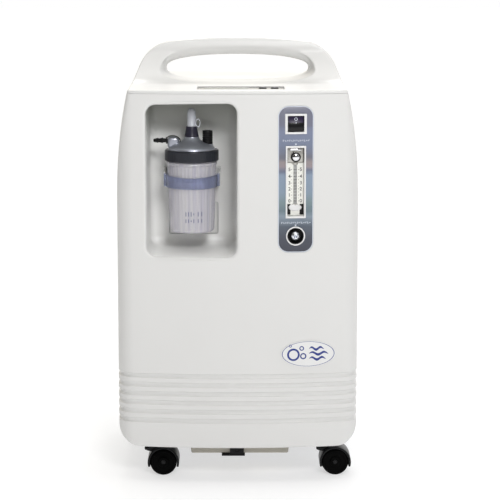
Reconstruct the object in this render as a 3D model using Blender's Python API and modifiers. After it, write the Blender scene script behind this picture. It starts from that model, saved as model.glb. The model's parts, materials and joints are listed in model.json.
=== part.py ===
"""A home oxygen concentrator on four twin-wheel casters.

Metres, +Z up. The origin is on the floor under the middle of the cabinet, the front faces -Y and +X is
to the right of someone who stands in front of it.
"""

import math

import bpy
import bmesh
from mathutils import Matrix, Vector

MM = 0.001
GAP = 0.3 * MM

# Cabinet
HALF_WIDTH = 182.5 * MM
HALF_DEPTH = 190 * MM
FACE_RADIUS = 935 * MM  # the front bulges on this radius, seen from above
SIDE_CORNER = 30 * MM
FOOT_CORNER = 33 * MM
CABINET_BOTTOM = 54.7 * MM
DECK = 600 * MM
DECK_THICKNESS = 5 * MM
SHOULDER = 400 * MM  # above this height the sides lean in
LEAN = 18.2 * MM
LEAN_HEIGHT = 199 * MM
LEAN_POWER = 2.6
SIDE_SLACK = 0.05 * MM  # the front outline is this much wider than the plan, so their sides never coincide
WALL = 3.5 * MM
SEAM_Y = -60 * MM

# Carry loop
LOOP_TOP = 668 * MM
LOOP_SIDE_SLOPE = 0.42
LOOP_CORNER = 60 * MM
LOOP_HALF_DEPTH = 16 * MM
GRIP_HALF_WIDTH = 111 * MM
GRIP_LOW = 603 * MM
GRIP_HIGH = 641 * MM

# Humidifier bay
BAY_LEFT = -137 * MM
BAY_RIGHT = -1 * MM
BAY_LOW = 350 * MM
BAY_HIGH = 580.6 * MM
BAY_DEPTH = 115 * MM
BAY_CORNER = 15 * MM
BAY_WALL = 3 * MM

# Humidifier
BOTTLE_X = -69.5 * MM
BOTTLE_Y = -HALF_DEPTH + 60 * MM

# Control label
LABEL_X = 86.8 * MM
LABEL_Z = 467 * MM
LABEL_SIZE = (53 * MM, 220 * MM)
LABEL_CORNER = 16 * MM
LABEL_YAW = math.asin(LABEL_X / FACE_RADIUS)
SWITCH_Z = 550.4 * MM
METER_Z = 463.2 * MM
KNOB_Z = 500.7 * MM
PORT_Z = 381.8 * MM

# Casters
STEM_X = 133 * MM
STEM_Y = 125 * MM
CASTER_TRAIL = 17.7 * MM
WHEEL_RADIUS = 20.5 * MM
HOOD_RADIUS = 24.4 * MM
WHEEL_WIDTH = 15 * MM

for item in list(bpy.data.objects):
    bpy.data.objects.remove(item, do_unlink=True)

parts = bpy.data.collections.new("oxygen_concentrator")
helpers = bpy.data.collections.new("cutters")
for group in (parts, helpers):
    bpy.context.scene.collection.children.link(group)


# ---------------------------------------------------------------- finishes


def finish(name, colour, roughness, metallic=0.0, alpha=1.0):
    material = bpy.data.materials.new(name)
    material.use_nodes = True
    shader = material.node_tree.nodes["Principled BSDF"]
    shader.inputs["Base Color"].default_value = (*colour, 1.0)
    shader.inputs["Roughness"].default_value = roughness
    shader.inputs["Metallic"].default_value = metallic
    shader.inputs["Alpha"].default_value = alpha
    material.diffuse_color = (*colour, alpha)
    return material


SHELL_WHITE = finish("shell_white", (0.80, 0.80, 0.78), 0.42)
TRIM_WHITE = finish("trim_white", (0.88, 0.88, 0.88), 0.35)
LABEL_PRINT = finish("label_print", (0.22, 0.26, 0.38), 0.30)
BLACK_PLASTIC = finish("black_plastic", (0.015, 0.015, 0.017), 0.35)
DARK_NUT = finish("dark_nut", (0.03, 0.03, 0.04), 0.40)
CLEAR = finish("clear_plastic", (0.85, 0.88, 0.92), 0.08, 0.0, 0.35)
DOME_BLUE = finish("dome_blue", (0.20, 0.23, 0.30), 0.25)
COLLAR_BLUE = finish("collar_blue", (0.10, 0.11, 0.26), 0.25, 0.0, 0.75)
CHROME = finish("chrome", (0.75, 0.76, 0.78), 0.12, 1.0)
STEEL = finish("steel", (0.55, 0.56, 0.57), 0.35, 1.0)
ALUMINIUM = finish("aluminium", (0.70, 0.71, 0.72), 0.35, 1.0)
COPPER = finish("copper", (0.72, 0.38, 0.22), 0.30, 1.0)
BEIGE = finish("beige_plastic", (0.55, 0.50, 0.40), 0.50)
GREY_FOAM = finish("grey_foam", (0.16, 0.16, 0.17), 0.90)
BOARD_GREEN = finish("board_green", (0.03, 0.18, 0.09), 0.45)
DISPLAY_DARK = finish("display_dark", (0.02, 0.02, 0.03), 0.12)
BADGE_BLUE = finish("badge_blue", (0.02, 0.05, 0.30), 0.30)


# ---------------------------------------------------------------- shaping tools


def arc(centre, radius, start, end, steps):
    """Points on a circle from one angle to another, in degrees, ends included."""
    found = []
    for step in range(steps + 1):
        angle = math.radians(start + (end - start) * step / steps)
        found.append((centre[0] + radius * math.cos(angle), centre[1] + radius * math.sin(angle)))
    return found


def mirrored(right):
    """A closed outline from its right half, which starts and ends on the middle line."""
    return right + [(-x, y) for x, y in reversed(right) if x > 1e-6]


def rounded_box_outline(size, radius, steps=5, centre=(0, 0)):
    half_x, half_y = size[0] / 2 - radius, size[1] / 2 - radius
    outline = []
    for quarter, (side_x, side_y) in enumerate(((1, -1), (1, 1), (-1, 1), (-1, -1))):
        middle = (centre[0] + side_x * half_x, centre[1] + side_y * half_y)
        outline += arc(middle, radius, 90 * quarter - 90, 90 * quarter, steps)
    return outline


def oval_outline(half_x, half_y, steps, centre):
    turn = 2 * math.pi / steps
    return [
        (centre[0] + half_x * math.cos(turn * k), centre[1] + half_y * math.sin(turn * k))
        for k in range(steps)
    ]


def into(obj, name, group, material):
    obj.name = name
    obj.data.name = name
    for old in list(obj.users_collection):
        old.objects.unlink(obj)
    group.objects.link(obj)
    if group is helpers:
        obj.hide_render = True
        obj.display_type = "WIRE"
    else:
        obj.data.materials.clear()
        obj.data.materials.append(material)
    return obj


def from_bmesh(name, shape, group=parts, material=None, place=None):
    mesh = bpy.data.meshes.new(name)
    bmesh.ops.recalc_face_normals(shape, faces=shape.faces)
    shape.to_mesh(mesh)
    shape.free()
    obj = bpy.data.objects.new(name, mesh)
    bpy.context.scene.collection.objects.link(obj)
    if place is not None:
        obj.matrix_world = place
    return into(obj, name, group, material)


def box(name, low, high, group=parts, material=None, place=None):
    """A box between two corners."""
    shape = bmesh.new()
    size = Vector(high) - Vector(low)
    middle = (Vector(high) + Vector(low)) / 2
    bmesh.ops.create_cube(shape, size=1.0, matrix=Matrix.Translation(middle) @ Matrix.Diagonal((*size, 1)))
    return from_bmesh(name, shape, group, material, place)


def plate(name, outline, low, high, group=parts, material=None, place=None, facing="UP"):
    """An outline given a thickness: along Z, or along Y when it is drawn in X and Z and faces the front."""
    curve = bpy.data.curves.new(name, "CURVE")
    curve.dimensions = "2D"
    curve.fill_mode = "BOTH"
    curve.extrude = (high - low) / 2
    spline = curve.splines.new("POLY")
    spline.points.add(len(outline) - 1)
    for point, (across, along) in zip(spline.points, outline):
        point.co = (across, along, 0, 1)
    spline.use_cyclic_u = True
    guide = bpy.data.objects.new(name + "_curve", curve)
    bpy.context.scene.collection.objects.link(guide)
    bpy.context.view_layer.update()
    flat = bpy.data.meshes.new_from_object(guide.evaluated_get(bpy.context.evaluated_depsgraph_get()))
    bpy.data.objects.remove(guide, do_unlink=True)
    shape = bmesh.new()
    shape.from_mesh(flat)
    bpy.data.meshes.remove(flat)
    bmesh.ops.remove_doubles(shape, verts=shape.verts, dist=1e-6)
    middle = (low + high) / 2
    if facing == "FRONT":
        turn = Matrix.Translation((0, middle, 0)) @ Matrix.Rotation(math.pi / 2, 4, "X")
    else:
        turn = Matrix.Translation((0, 0, middle))
    bmesh.ops.transform(shape, matrix=turn, verts=shape.verts)
    return from_bmesh(name, shape, group, material, place)


def turned(name, profile, steps, group=parts, material=None, place=None, ring=False):
    """A solid turned about Z. The profile lists (radius, height) down the outer side."""
    mesh = bpy.data.meshes.new(name)
    edges = [(k, k + 1) for k in range(len(profile) - 1)]
    if ring:
        edges.append((len(profile) - 1, 0))
    mesh.from_pydata([(radius, 0, height) for radius, height in profile], edges, [])
    obj = bpy.data.objects.new(name, mesh)
    bpy.context.scene.collection.objects.link(obj)
    screw = obj.modifiers.new("turn", "SCREW")
    screw.steps = steps
    screw.render_steps = steps
    screw.use_merge_vertices = True
    screw.merge_threshold = 1e-5
    if place is not None:
        obj.matrix_world = place
    return into(obj, name, group, material)


def rod(name, radius, low, high, sides=16, group=parts, material=None, place=None):
    profile = [(0, high), (radius, high), (radius, low), (0, low)]
    return turned(name, profile, sides, group, material, place)


def ring(name, outer, inner, low, high, sides=24, group=parts, material=None, place=None):
    profile = [(inner, high), (outer, high), (outer, low), (inner, low)]
    return turned(name, profile, sides, group, material, place, ring=True)


def change(obj, other, operation):
    modifier = obj.modifiers.new(f"{operation.lower()}_{other.name}"[:60], "BOOLEAN")
    modifier.operation = operation
    modifier.solver = "EXACT"
    modifier.object = other
    return obj


def cut(obj, *cutters):
    for cutter in cutters:
        change(obj, cutter, "DIFFERENCE")
    return obj


def join(obj, *others):
    for other in others:
        change(obj, other, "UNION")
    return obj


def keep(obj, other):
    return change(obj, other, "INTERSECT")


def repeat(obj, count, offset):
    copies = obj.modifiers.new("repeat", "ARRAY")
    copies.use_relative_offset = False
    copies.use_constant_offset = True
    copies.constant_offset_displace = offset
    copies.count = count
    return obj


def wire(name, points, radius, material, resolution=2):
    """A round bar along a line of points, as a mesh."""
    curve = bpy.data.curves.new(name, "CURVE")
    curve.dimensions = "3D"
    curve.bevel_depth = radius
    curve.bevel_resolution = resolution
    curve.use_fill_caps = True
    spline = curve.splines.new("POLY")
    spline.points.add(len(points) - 1)
    for point, place in zip(spline.points, points):
        point.co = (*place, 1)
    guide = bpy.data.objects.new(name + "_curve", curve)
    bpy.context.scene.collection.objects.link(guide)
    bpy.context.view_layer.update()
    tube = bpy.data.meshes.new_from_object(guide.evaluated_get(bpy.context.evaluated_depsgraph_get()))
    bpy.data.objects.remove(guide, do_unlink=True)
    shape = bmesh.new()
    shape.from_mesh(tube)
    bpy.data.meshes.remove(tube)
    bmesh.ops.remove_doubles(shape, verts=shape.verts, dist=1e-6)
    return from_bmesh(name, shape, parts, material)


def at(x, y, z):
    return Matrix.Translation((x, y, z))


def lying(x, y, z, axis):
    """A place whose own Z points along the world axis given, as -X, +Y or -Y."""
    turns = {
        "-X": Matrix.Rotation(-math.pi / 2, 4, "Y"),
        "+Y": Matrix.Rotation(-math.pi / 2, 4, "X"),
        "-Y": Matrix.Rotation(math.pi / 2, 4, "X"),
    }
    return at(x, y, z) @ turns[axis]


def face_y(x, inset=0.0):
    """Where the bulging front is at a distance from the middle line."""
    return FACE_RADIUS - HALF_DEPTH - math.sqrt((FACE_RADIUS - inset) ** 2 - x * x)


# The label's own frame: X along the label, Y into the cabinet, Z up from the floor.
ON_LABEL = at(LABEL_X, face_y(LABEL_X), 0) @ Matrix.Rotation(LABEL_YAW, 4, "Z")


# ---------------------------------------------------------------- cabinet volumes


def plan_outline(inset, face_steps=10, corner_steps=4):
    """The cabinet seen from above, moved in by inset."""
    corner_x = HALF_WIDTH - SIDE_CORNER
    centre_y = FACE_RADIUS - HALF_DEPTH
    corner_y = centre_y - math.sqrt((FACE_RADIUS - SIDE_CORNER) ** 2 - corner_x**2)
    meet = math.degrees(math.atan2(corner_y - centre_y, corner_x))
    back_y = HALF_DEPTH - SIDE_CORNER
    radius = SIDE_CORNER - inset
    outline = arc((0, centre_y), FACE_RADIUS - inset, -180 - meet, meet, face_steps)
    outline += arc((corner_x, corner_y), radius, meet, 0, corner_steps)[1:]
    outline += arc((corner_x, back_y), radius, 0, 90, corner_steps)
    outline += arc((-corner_x, back_y), radius, 90, 180, corner_steps)
    outline += arc((-corner_x, corner_y), radius, 180, 180 - meet, corner_steps)[:-1]
    return outline


def side_x(height):
    if height <= SHOULDER:
        return HALF_WIDTH + SIDE_SLACK
    return HALF_WIDTH + SIDE_SLACK - LEAN * ((height - SHOULDER) / LEAN_HEIGHT) ** LEAN_POWER


def front_outline(inset, top):
    """The cabinet seen from the front, moved in by inset, up to a height."""
    centre = (HALF_WIDTH + SIDE_SLACK - FOOT_CORNER, CABINET_BOTTOM + FOOT_CORNER)
    right = [(0, CABINET_BOTTOM + inset)]
    right += arc(centre, FOOT_CORNER - inset, -90, 0, 6)
    steps = 6
    for step in range(steps + 1):
        height = SHOULDER + (top - SHOULDER) * step / steps
        right.append((side_x(height) - inset, height))
    right.append((0, top))
    return mirrored(right)


def cabinet_volume(name, inset, top, group, material=None, face_steps=10):
    """The cabinet's form: its front outline carried back, kept where its plan is."""
    volume = plate(
        name, front_outline(inset, top), -0.25, 0.25, group, material, facing="FRONT"
    )
    plan = plate(name + "_plan", plan_outline(inset, face_steps), 0, 0.75, helpers)
    return keep(volume, plan)


def bay_outline(grow=0.0):
    """The humidifier bay's mouth, moved out by grow."""
    size = (BAY_RIGHT - BAY_LEFT + 2 * grow, BAY_HIGH - BAY_LOW + 2 * grow)
    centre = ((BAY_LEFT + BAY_RIGHT) / 2, (BAY_LOW + BAY_HIGH) / 2)
    return rounded_box_outline(size, BAY_CORNER + grow, 4, centre)


# ---------------------------------------------------------------- cabinet


def make_covers():
    cover_top = DECK - DECK_THICKNESS - GAP
    inside = cabinet_volume("inside_space", WALL, 0.65, helpers, face_steps=9)
    floor_opening = box("floor_opening", (-0.148, -0.150, 0.04), (0.148, 0.150, 0.07), helpers)

    front_half = box("front_half", (-0.3, -0.3, 0), (0.3, SEAM_Y - GAP / 2, 0.8), helpers)
    front = cabinet_volume("front_cover", 0.0, cover_top, parts, SHELL_WHITE)
    cut(front, inside)
    keep(front, front_half)

    groove = plate("groove_bar", plan_outline(-10 * MM, 4, 2), 93.5 * MM, 101 * MM, helpers)
    core = plate("groove_core", plan_outline(2.2 * MM, 7, 3), 0.08, 0.12, helpers)
    cut(groove, core)
    repeat(groove, 6, (0, 0, 13.85 * MM))

    bay_back = -HALF_DEPTH + BAY_DEPTH
    bay_box = plate(
        "bay_box", bay_outline(BAY_WALL), -0.187, bay_back + BAY_WALL, helpers, facing="FRONT"
    )
    keep(bay_box, plate("bay_limit", plan_outline(1 * MM, 8, 3), 0.3, 0.7, helpers))
    bay_space = plate("bay_space", bay_outline(), -0.3, bay_back, helpers, facing="FRONT")
    join(front, bay_box)
    cut(front, bay_space)
    door_hole = box(
        "door_hole", (-0.1065, bay_back - 0.01, 0.3675), (-0.0295, bay_back + 0.01, 0.4185),
        helpers,
    )
    cut(front, door_hole, floor_opening)

    label_pocket = plate(
        "label_pocket",
        rounded_box_outline((LABEL_SIZE[0] + 0.6 * MM, LABEL_SIZE[1] + 0.6 * MM), LABEL_CORNER, 4, (0, LABEL_Z)),
        -0.03,
        1.3 * MM,
        helpers,
        place=ON_LABEL,
        facing="FRONT",
    )
    cut(front, label_pocket, *label_holes(0.02), groove)

    rear_half = box("rear_half", (-0.3, SEAM_Y + GAP / 2, 0), (0.3, 0.3, 0.8), helpers)
    rear = cabinet_volume("rear_cover", 0.0, cover_top, parts, SHELL_WHITE)
    cut(rear, inside)
    keep(rear, rear_half)
    grille_hole = box("grille_hole", (-0.0605, 0.17, 0.2995), (0.0605, 0.22, 0.4205), helpers)
    inlet_hole = box("inlet_hole", (-0.1145, 0.17, 0.1065), (-0.0655, 0.22, 0.1345), helpers)
    breaker_hole = rod(
        "breaker_hole", 4.3 * MM, -0.03, 0.03, 16, helpers, place=lying(-0.04, 0.19, 0.1205, "+Y"),
    )
    vent = box("vent_slot", (0.04, 0.17, 0.100), (0.13, 0.22, 0.104), helpers)
    repeat(vent, 7, (0, 0, 10 * MM))
    cut(rear, floor_opening, grille_hole, inlet_hole, breaker_hole, vent)


def label_holes(reach):
    """What passes through the label and the cover behind it."""
    switch = box(
        f"switch_hole_{reach}",
        (-14.1 * MM, -reach, SWITCH_Z - 13.1 * MM),
        (14.1 * MM, reach, SWITCH_Z + 13.1 * MM),
        helpers,
        place=ON_LABEL,
    )
    meter = box(
        f"meter_hole_{reach}",
        (-14.4 * MM, -reach, METER_Z - 53.6 * MM),
        (14.4 * MM, reach, METER_Z + 53.6 * MM),
        helpers,
        place=ON_LABEL,
    )
    port = rod(
        f"port_hole_{reach}", 13.4 * MM, -reach, reach, 24, helpers, place=ON_LABEL @ lying(
            0, 0, PORT_Z, "+Y",
        )
    )
    return switch, meter, port


def loop_outline():
    """The carry loop's outer outline: leaning sides, wide round corners and a crowned top."""
    crown = LOOP_TOP - FACE_RADIUS
    foot = (side_x(DECK), DECK - 2 * MM)
    corner_z = 657.4 * MM
    corner = Vector((foot[0] - LOOP_SIDE_SLOPE * (corner_z - foot[1]), corner_z))
    along_side = (Vector(foot) - corner).normalized()
    first = 98 * MM
    on_crown = Vector((first, crown + math.sqrt(FACE_RADIUS**2 - first**2)))
    along_top = (on_crown - corner).normalized()
    half = along_side.angle(along_top) / 2
    middle = corner + (along_side + along_top).normalized() * (LOOP_CORNER / math.sin(half))
    start = corner + along_side * (LOOP_CORNER / math.tan(half)) - middle
    end = corner + along_top * (LOOP_CORNER / math.tan(half)) - middle
    from_angle = math.degrees(math.atan2(start.y, start.x))
    to_angle = math.degrees(math.atan2(end.y, end.x))
    right = [(0, foot[1]), foot]
    right += arc(middle, LOOP_CORNER, from_angle, to_angle, 6)
    for share in (0.66, 0.33, 0.0):
        across = first * share
        right.append((across, crown + math.sqrt(FACE_RADIUS**2 - across**2)))
    return mirrored(right)


def make_top():
    top = cabinet_volume("top_cover", 0.0, DECK, parts, SHELL_WHITE)
    slab = box("deck_slab", (-0.3, -0.3, DECK - DECK_THICKNESS), (0.3, 0.3, 0.7), helpers)
    keep(top, slab)
    loop = plate("loop", loop_outline(), -LOOP_HALF_DEPTH, LOOP_HALF_DEPTH, helpers, facing="FRONT")
    grip_size = (2 * GRIP_HALF_WIDTH, GRIP_HIGH - GRIP_LOW)
    grip = plate(
        "grip_hole",
        rounded_box_outline(grip_size, 18.5 * MM, 6, (0, (GRIP_LOW + GRIP_HIGH) / 2)),
        -0.05,
        0.05,
        helpers,
        facing="FRONT",
    )
    display_pocket = box("display_pocket", (-0.0605, -0.1625, DECK - 3 * MM), (0.0705, -0.1125, 0.7), helpers)
    join(top, loop)
    cut(top, grip, display_pocket)

    window = box(
        "display_window", (-0.060, -0.162, DECK - 2.7 * MM), (0.070, -0.113, DECK - 0.6 * MM),
        parts, DISPLAY_DARK,
    )
    for side, middle in (("less", 38), ("more", 56)):
        low = ((middle - 6) * MM, -0.1425, DECK - 2.4 * MM)
        high = ((middle + 6) * MM, -0.1305, DECK + 0.8 * MM)
        well = box(f"key_well_{side}", low, high, helpers)
        cut(window, well)
        box(
            f"timer_key_{side}",
            (low[0] + GAP, low[1] + GAP, low[2] + 1.1 * MM),
            (high[0] - GAP, high[1] - GAP, high[2]),
            parts,
            BLACK_PLASTIC,
        )


def make_base():
    low = CABINET_BOTTOM
    base = box("base_plate", (-0.1476, -0.1496, low), (0.1476, 0.1496, low + WALL + 1 * MM), parts, STEEL)
    flange = box(
        "base_flange", (-0.1505, -0.156, low + WALL + GAP), (0.1505, 0.156, low + WALL + 2.5 * MM), helpers
    )
    join(base, flange)
    under = low - GAP
    box("duct_tray", (-0.075, -0.130, 31.5 * MM), (0.081, -0.082, under), parts, BEIGE)
    clip = box("tray_clip", (-0.0125, -0.1345, 31.2 * MM), (0.0093, -0.1303, 46 * MM), parts, BLACK_PLASTIC)
    tongue = box("clip_tongue", (-0.025, -0.1345, 28 * MM), (0.011, -0.105, 31.2 * MM), helpers)
    join(clip, tongue)
    pan_outline = [(-0.078, 0.032), (0.078, 0.032), (0.096, under), (-0.096, under)]
    plate("bottom_pan", pan_outline, -0.078, 0.078, parts, BEIGE, facing="FRONT")


# ---------------------------------------------------------------- control label


def make_label():
    label = plate(
        "control_label",
        rounded_box_outline(LABEL_SIZE, LABEL_CORNER, 5, (0, LABEL_Z)),
        0.4 * MM,
        1.0 * MM,
        parts,
        LABEL_PRINT,
        place=ON_LABEL,
        facing="FRONT",
    )
    cut(label, *label_holes(0.01))
    make_switch()
    make_meter()
    make_port()


def make_switch():
    bezel = box(
        "switch_bezel",
        (-16.3 * MM, -1.7 * MM, SWITCH_Z - 15.2 * MM),
        (16.3 * MM, 0.1 * MM, SWITCH_Z + 15.2 * MM),
        parts,
        TRIM_WHITE,
        place=ON_LABEL,
    )
    body = box(
        "switch_body",
        (-13.8 * MM, -1 * MM, SWITCH_Z - 12.8 * MM),
        (13.8 * MM, 20 * MM, SWITCH_Z + 12.8 * MM),
        helpers,
        place=ON_LABEL,
    )
    well = box(
        "switch_well",
        (-12.5 * MM, -5 * MM, SWITCH_Z - 12.1 * MM),
        (12.5 * MM, 13 * MM, SWITCH_Z + 12.1 * MM),
        helpers,
        place=ON_LABEL,
    )
    join(bezel, body)
    cut(bezel, well)

    # The rocker's side view about its pivot, as (depth, height); its upper half is pressed in at rest.
    side_view = [(-6.2, 0), (-3.8, 11.3), (2.5, 9.8), (4.5, 0), (2.5, -9.8), (-3.8, -11.3)]
    pressed = math.radians(-12)
    outline = [
        (
            (depth * math.cos(pressed) - height * math.sin(pressed)) * MM,
            (depth * math.sin(pressed) + height * math.cos(pressed)) * MM,
        )
        for depth, height in side_view
    ]
    across = Matrix(((0, 0, 1, 0), (1, 0, 0, 0), (0, 1, 0, 0), (0, 0, 0, 1)))
    plate(
        "switch_rocker",
        outline,
        -12.1 * MM,
        12.1 * MM,
        parts,
        BLACK_PLASTIC,
        place=ON_LABEL @ at(0, 4.2 * MM, SWITCH_Z) @ across,
    )


def make_meter():
    low, high = METER_Z - 54.4 * MM, METER_Z + 54.4 * MM
    frame = box(
        "flowmeter_frame", (-15.2 * MM, -1.4 * MM, low), (15.2 * MM, 0.1 * MM, high), parts,
        TRIM_WHITE, place=ON_LABEL,
    )
    sleeve = box(
        "meter_sleeve",
        (-14.1 * MM, -1 * MM, METER_Z - 53.3 * MM),
        (14.1 * MM, 29 * MM, METER_Z + 53.3 * MM),
        helpers,
        place=ON_LABEL,
    )
    well = box(
        "meter_well",
        (-13 * MM, -5 * MM, METER_Z - 51.6 * MM),
        (13 * MM, 27 * MM, METER_Z + 51.6 * MM),
        helpers,
        place=ON_LABEL,
    )
    join(frame, sleeve)
    cut(frame, well)

    head = box(
        "flowmeter_head", (-12.7 * MM, 4 * MM, 492.2 * MM), (12.7 * MM, 26 * MM, 514.4 * MM), parts,
        CHROME, place=ON_LABEL,
    )
    stem_hole = rod(
        "stem_hole", 2.9 * MM, -11 * MM, 20 * MM, 12, helpers, place=ON_LABEL @ lying(0, 4 * MM, KNOB_Z, "-Y")
    )
    cut(head, stem_hole)

    tube = box(
        "flowmeter_tube", (-12.7 * MM, 5 * MM, 411.9 * MM), (12.7 * MM, 22 * MM, 491.8 * MM), parts,
        CLEAR, place=ON_LABEL,
    )
    bore = rod("tube_bore", 3.1 * MM, 0.4304, 0.53, 14, helpers, place=ON_LABEL @ at(0, 12 * MM, 0))
    cut(tube, bore)
    float_profile = [(0, 2.7), (1.9, 1.9), (2.7, 0), (1.9, -1.9), (0, -3.1)]
    turned(
        "flow_float",
        [(radius * MM, height * MM) for radius, height in float_profile],
        12,
        parts,
        BLACK_PLASTIC,
        place=ON_LABEL @ at(0, 12 * MM, 433.8 * MM),
    )
    knob_profile = [
        (0, 7.9), (3.2, 7.5), (5.5, 6.0), (5.5, 5.2), (7.0, 5.2), (7.6, 4.4), (7.6, 0.3),
        (2.6, 0.3), (2.6, -9), (0, -9),
    ]
    turned(
        "flow_knob",
        [(radius * MM, height * MM) for radius, height in knob_profile],
        16,
        parts,
        BLACK_PLASTIC,
        place=ON_LABEL @ lying(0, 4 * MM, KNOB_Z, "-Y"),
    )


def make_port():
    outward = ON_LABEL @ lying(0, 0, PORT_Z, "-Y")
    ring_profile = [(12.5, 1.2), (14.4, 1.0), (14.4, -0.1), (13.1, -0.1), (13.1, -5), (12.5, -5)]
    turned(
        "port_ring", [(r * MM, z * MM) for r, z in ring_profile], 20, parts, TRIM_WHITE, outward,
        ring=True,
    )
    cup_profile = [(11.0, 0.6), (12.2, 0.6), (12.2, -14), (3.0, -14), (3.0, -12), (11.0, -12)]
    turned(
        "port_cup", [(r * MM, z * MM) for r, z in cup_profile], 16, parts, BLACK_PLASTIC, outward,
        ring=True,
    )
    nozzle_profile = [
        (0, 2.0), (3.4, 1.4), (6.2, -0.6), (7.4, -3.4), (7.4, -7), (5.2, -11.7), (2.7, -11.7),
        (2.7, -24), (0, -24),
    ]
    turned("port_nozzle", [(r * MM, z * MM) for r, z in nozzle_profile], 14, parts, CHROME, outward)


def make_badge():
    """A thin oval that follows the bulging front."""
    oval = plate(
        "maker_badge",
        oval_outline(41.5 * MM, 20.5 * MM, 28, (106.7 * MM, 201 * MM)),
        -0.25,
        -0.15,
        parts,
        BADGE_BLUE,
        facing="FRONT",
    )
    outside = plate("badge_outside", plan_outline(-0.8 * MM), 0.1, 0.3, helpers)
    inside = plate("badge_inside", plan_outline(-GAP), 0.1, 0.3, helpers)
    keep(oval, outside)
    cut(oval, inside)


# ---------------------------------------------------------------- humidifier


def scaled(profile):
    return [(radius * MM, height * MM) for radius, height in profile]


def make_humidifier():
    upright = at(BOTTLE_X, BOTTLE_Y, 0)
    jar = [
        (35.0, 500), (35.0, 488), (38.5, 488), (38.5, 483.6), (37.2, 483.6), (34.3, 385), (32.5, 380.7),
        (0, 380.7), (0, 383.2), (30.5, 383.2), (32.2, 386), (35.0, 482), (32.8, 486), (32.8, 500),
    ]
    turned("humidifier_jar", scaled(jar[8:] + jar[:8]), 24, parts, CLEAR, upright)

    nut = [
        (33.4, 506), (40.4, 506), (40.9, 505), (40.9, 490.6), (40.4, 489.7), (35.5, 489.7),
        (35.5, 503.3), (33.4, 503.3),
    ]
    turned("ring_nut", scaled(nut), 24, parts, DARK_NUT, upright, ring=True)

    lid_profile = [
        (0, 560), (2.6, 560), (3.4, 541), (7.6, 541), (8.2, 537), (9.0, 528), (11.5, 521.5), (20, 518.5),
        (29, 513.5), (34.5, 508.6), (35.5, 506.3), (33.1, 506.3), (33.1, 503), (34.8, 503), (34.8, 500.3),
        (4.2, 500.3), (4.2, 494.3), (0, 494.3),
    ]
    lid = turned("humidifier_lid", scaled(lid_profile), 20, parts, DOME_BLUE, upright)
    elbow = box("elbow_block", (-0.1058, -0.137, 0.508), (-0.0888, -0.123, 0.526), helpers)
    boss = rod("valve_boss", 8 * MM, 0.507, 0.5145, 16, helpers, place=at(-0.0454, BOTTLE_Y, 0))
    valve_seat = rod("valve_seat", 8.3 * MM, 0.5145, 0.530, 16, helpers, place=at(-0.0454, BOTTLE_Y, 0))
    join(lid, elbow, boss)
    cut(lid, valve_seat)

    cap = [(0, 569), (3.4, 568), (5.8, 565), (6.7, 561), (6.7, 541.3), (4.2, 541.3), (4.2, 561), (0, 561)]
    turned("outlet_cap", scaled(cap), 14, parts, TRIM_WHITE, upright)
    valve = [(0, 535), (7.2, 535), (8, 534), (8, 514.8), (0, 514.8)]
    turned("relief_valve", scaled(valve), 20, parts, BLACK_PLASTIC, at(-0.0454, BOTTLE_Y, 0))
    nipple = [(0, 21.2), (2.0, 21.2), (3.0, 14.5), (2.4, 14.2), (3.7, 7.5), (3.0, 7.2), (4.5, 0), (0, 0)]
    turned("inlet_nipple", scaled(nipple), 12, parts, BLACK_PLASTIC, lying(-0.1061, BOTTLE_Y, 0.5198, "-X"))
    tube = [(0, 494), (2.5, 494), (2.5, 404), (6, 403), (6, 389), (0, 388)]
    turned("dip_tube", scaled(tube), 10, parts, CLEAR, upright)

    collar = ring("collar", 39.3 * MM, 37.15 * MM, 449.7 * MM, 468.2 * MM, 24, parts, COLLAR_BLUE, upright)
    lug_low = 450.5 * MM
    lug_high = 469.5 * MM
    for side in (-1, 1):
        ends = sorted((BOTTLE_X + side * 38.2 * MM, BOTTLE_X + side * 42.5 * MM))
        lug = box(
            f"lug_{side}", (ends[0], BOTTLE_Y - 6 * MM, lug_low),
            (ends[1], BOTTLE_Y + 6 * MM, lug_high), helpers,
        )
        join(collar, lug)

    wall = -HALF_DEPTH + BAY_DEPTH - GAP
    bracket = box(
        "bottle_bracket",
        (BOTTLE_X - 44 * MM, wall - 4 * MM, 446 * MM),
        (BOTTLE_X + 44 * MM, wall, 474 * MM),
        parts,
        SHELL_WHITE,
    )
    for side in (-1, 1):
        ends = sorted((BOTTLE_X + side * 40 * MM, BOTTLE_X + side * 43.5 * MM))
        arm = box(
            f"bracket_arm_{side}", (ends[0], BOTTLE_Y + 6.3 * MM, 449 * MM),
            (ends[1], wall - 1 * MM, 471 * MM), helpers,
        )
        join(bracket, arm)
    box(
        "filter_door",
        (-0.106, wall - 0.7 * MM, 0.368),
        (-0.030, wall + 2.3 * MM, 0.418),
        parts,
        SHELL_WHITE,
    )


# ---------------------------------------------------------------- casters


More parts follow.
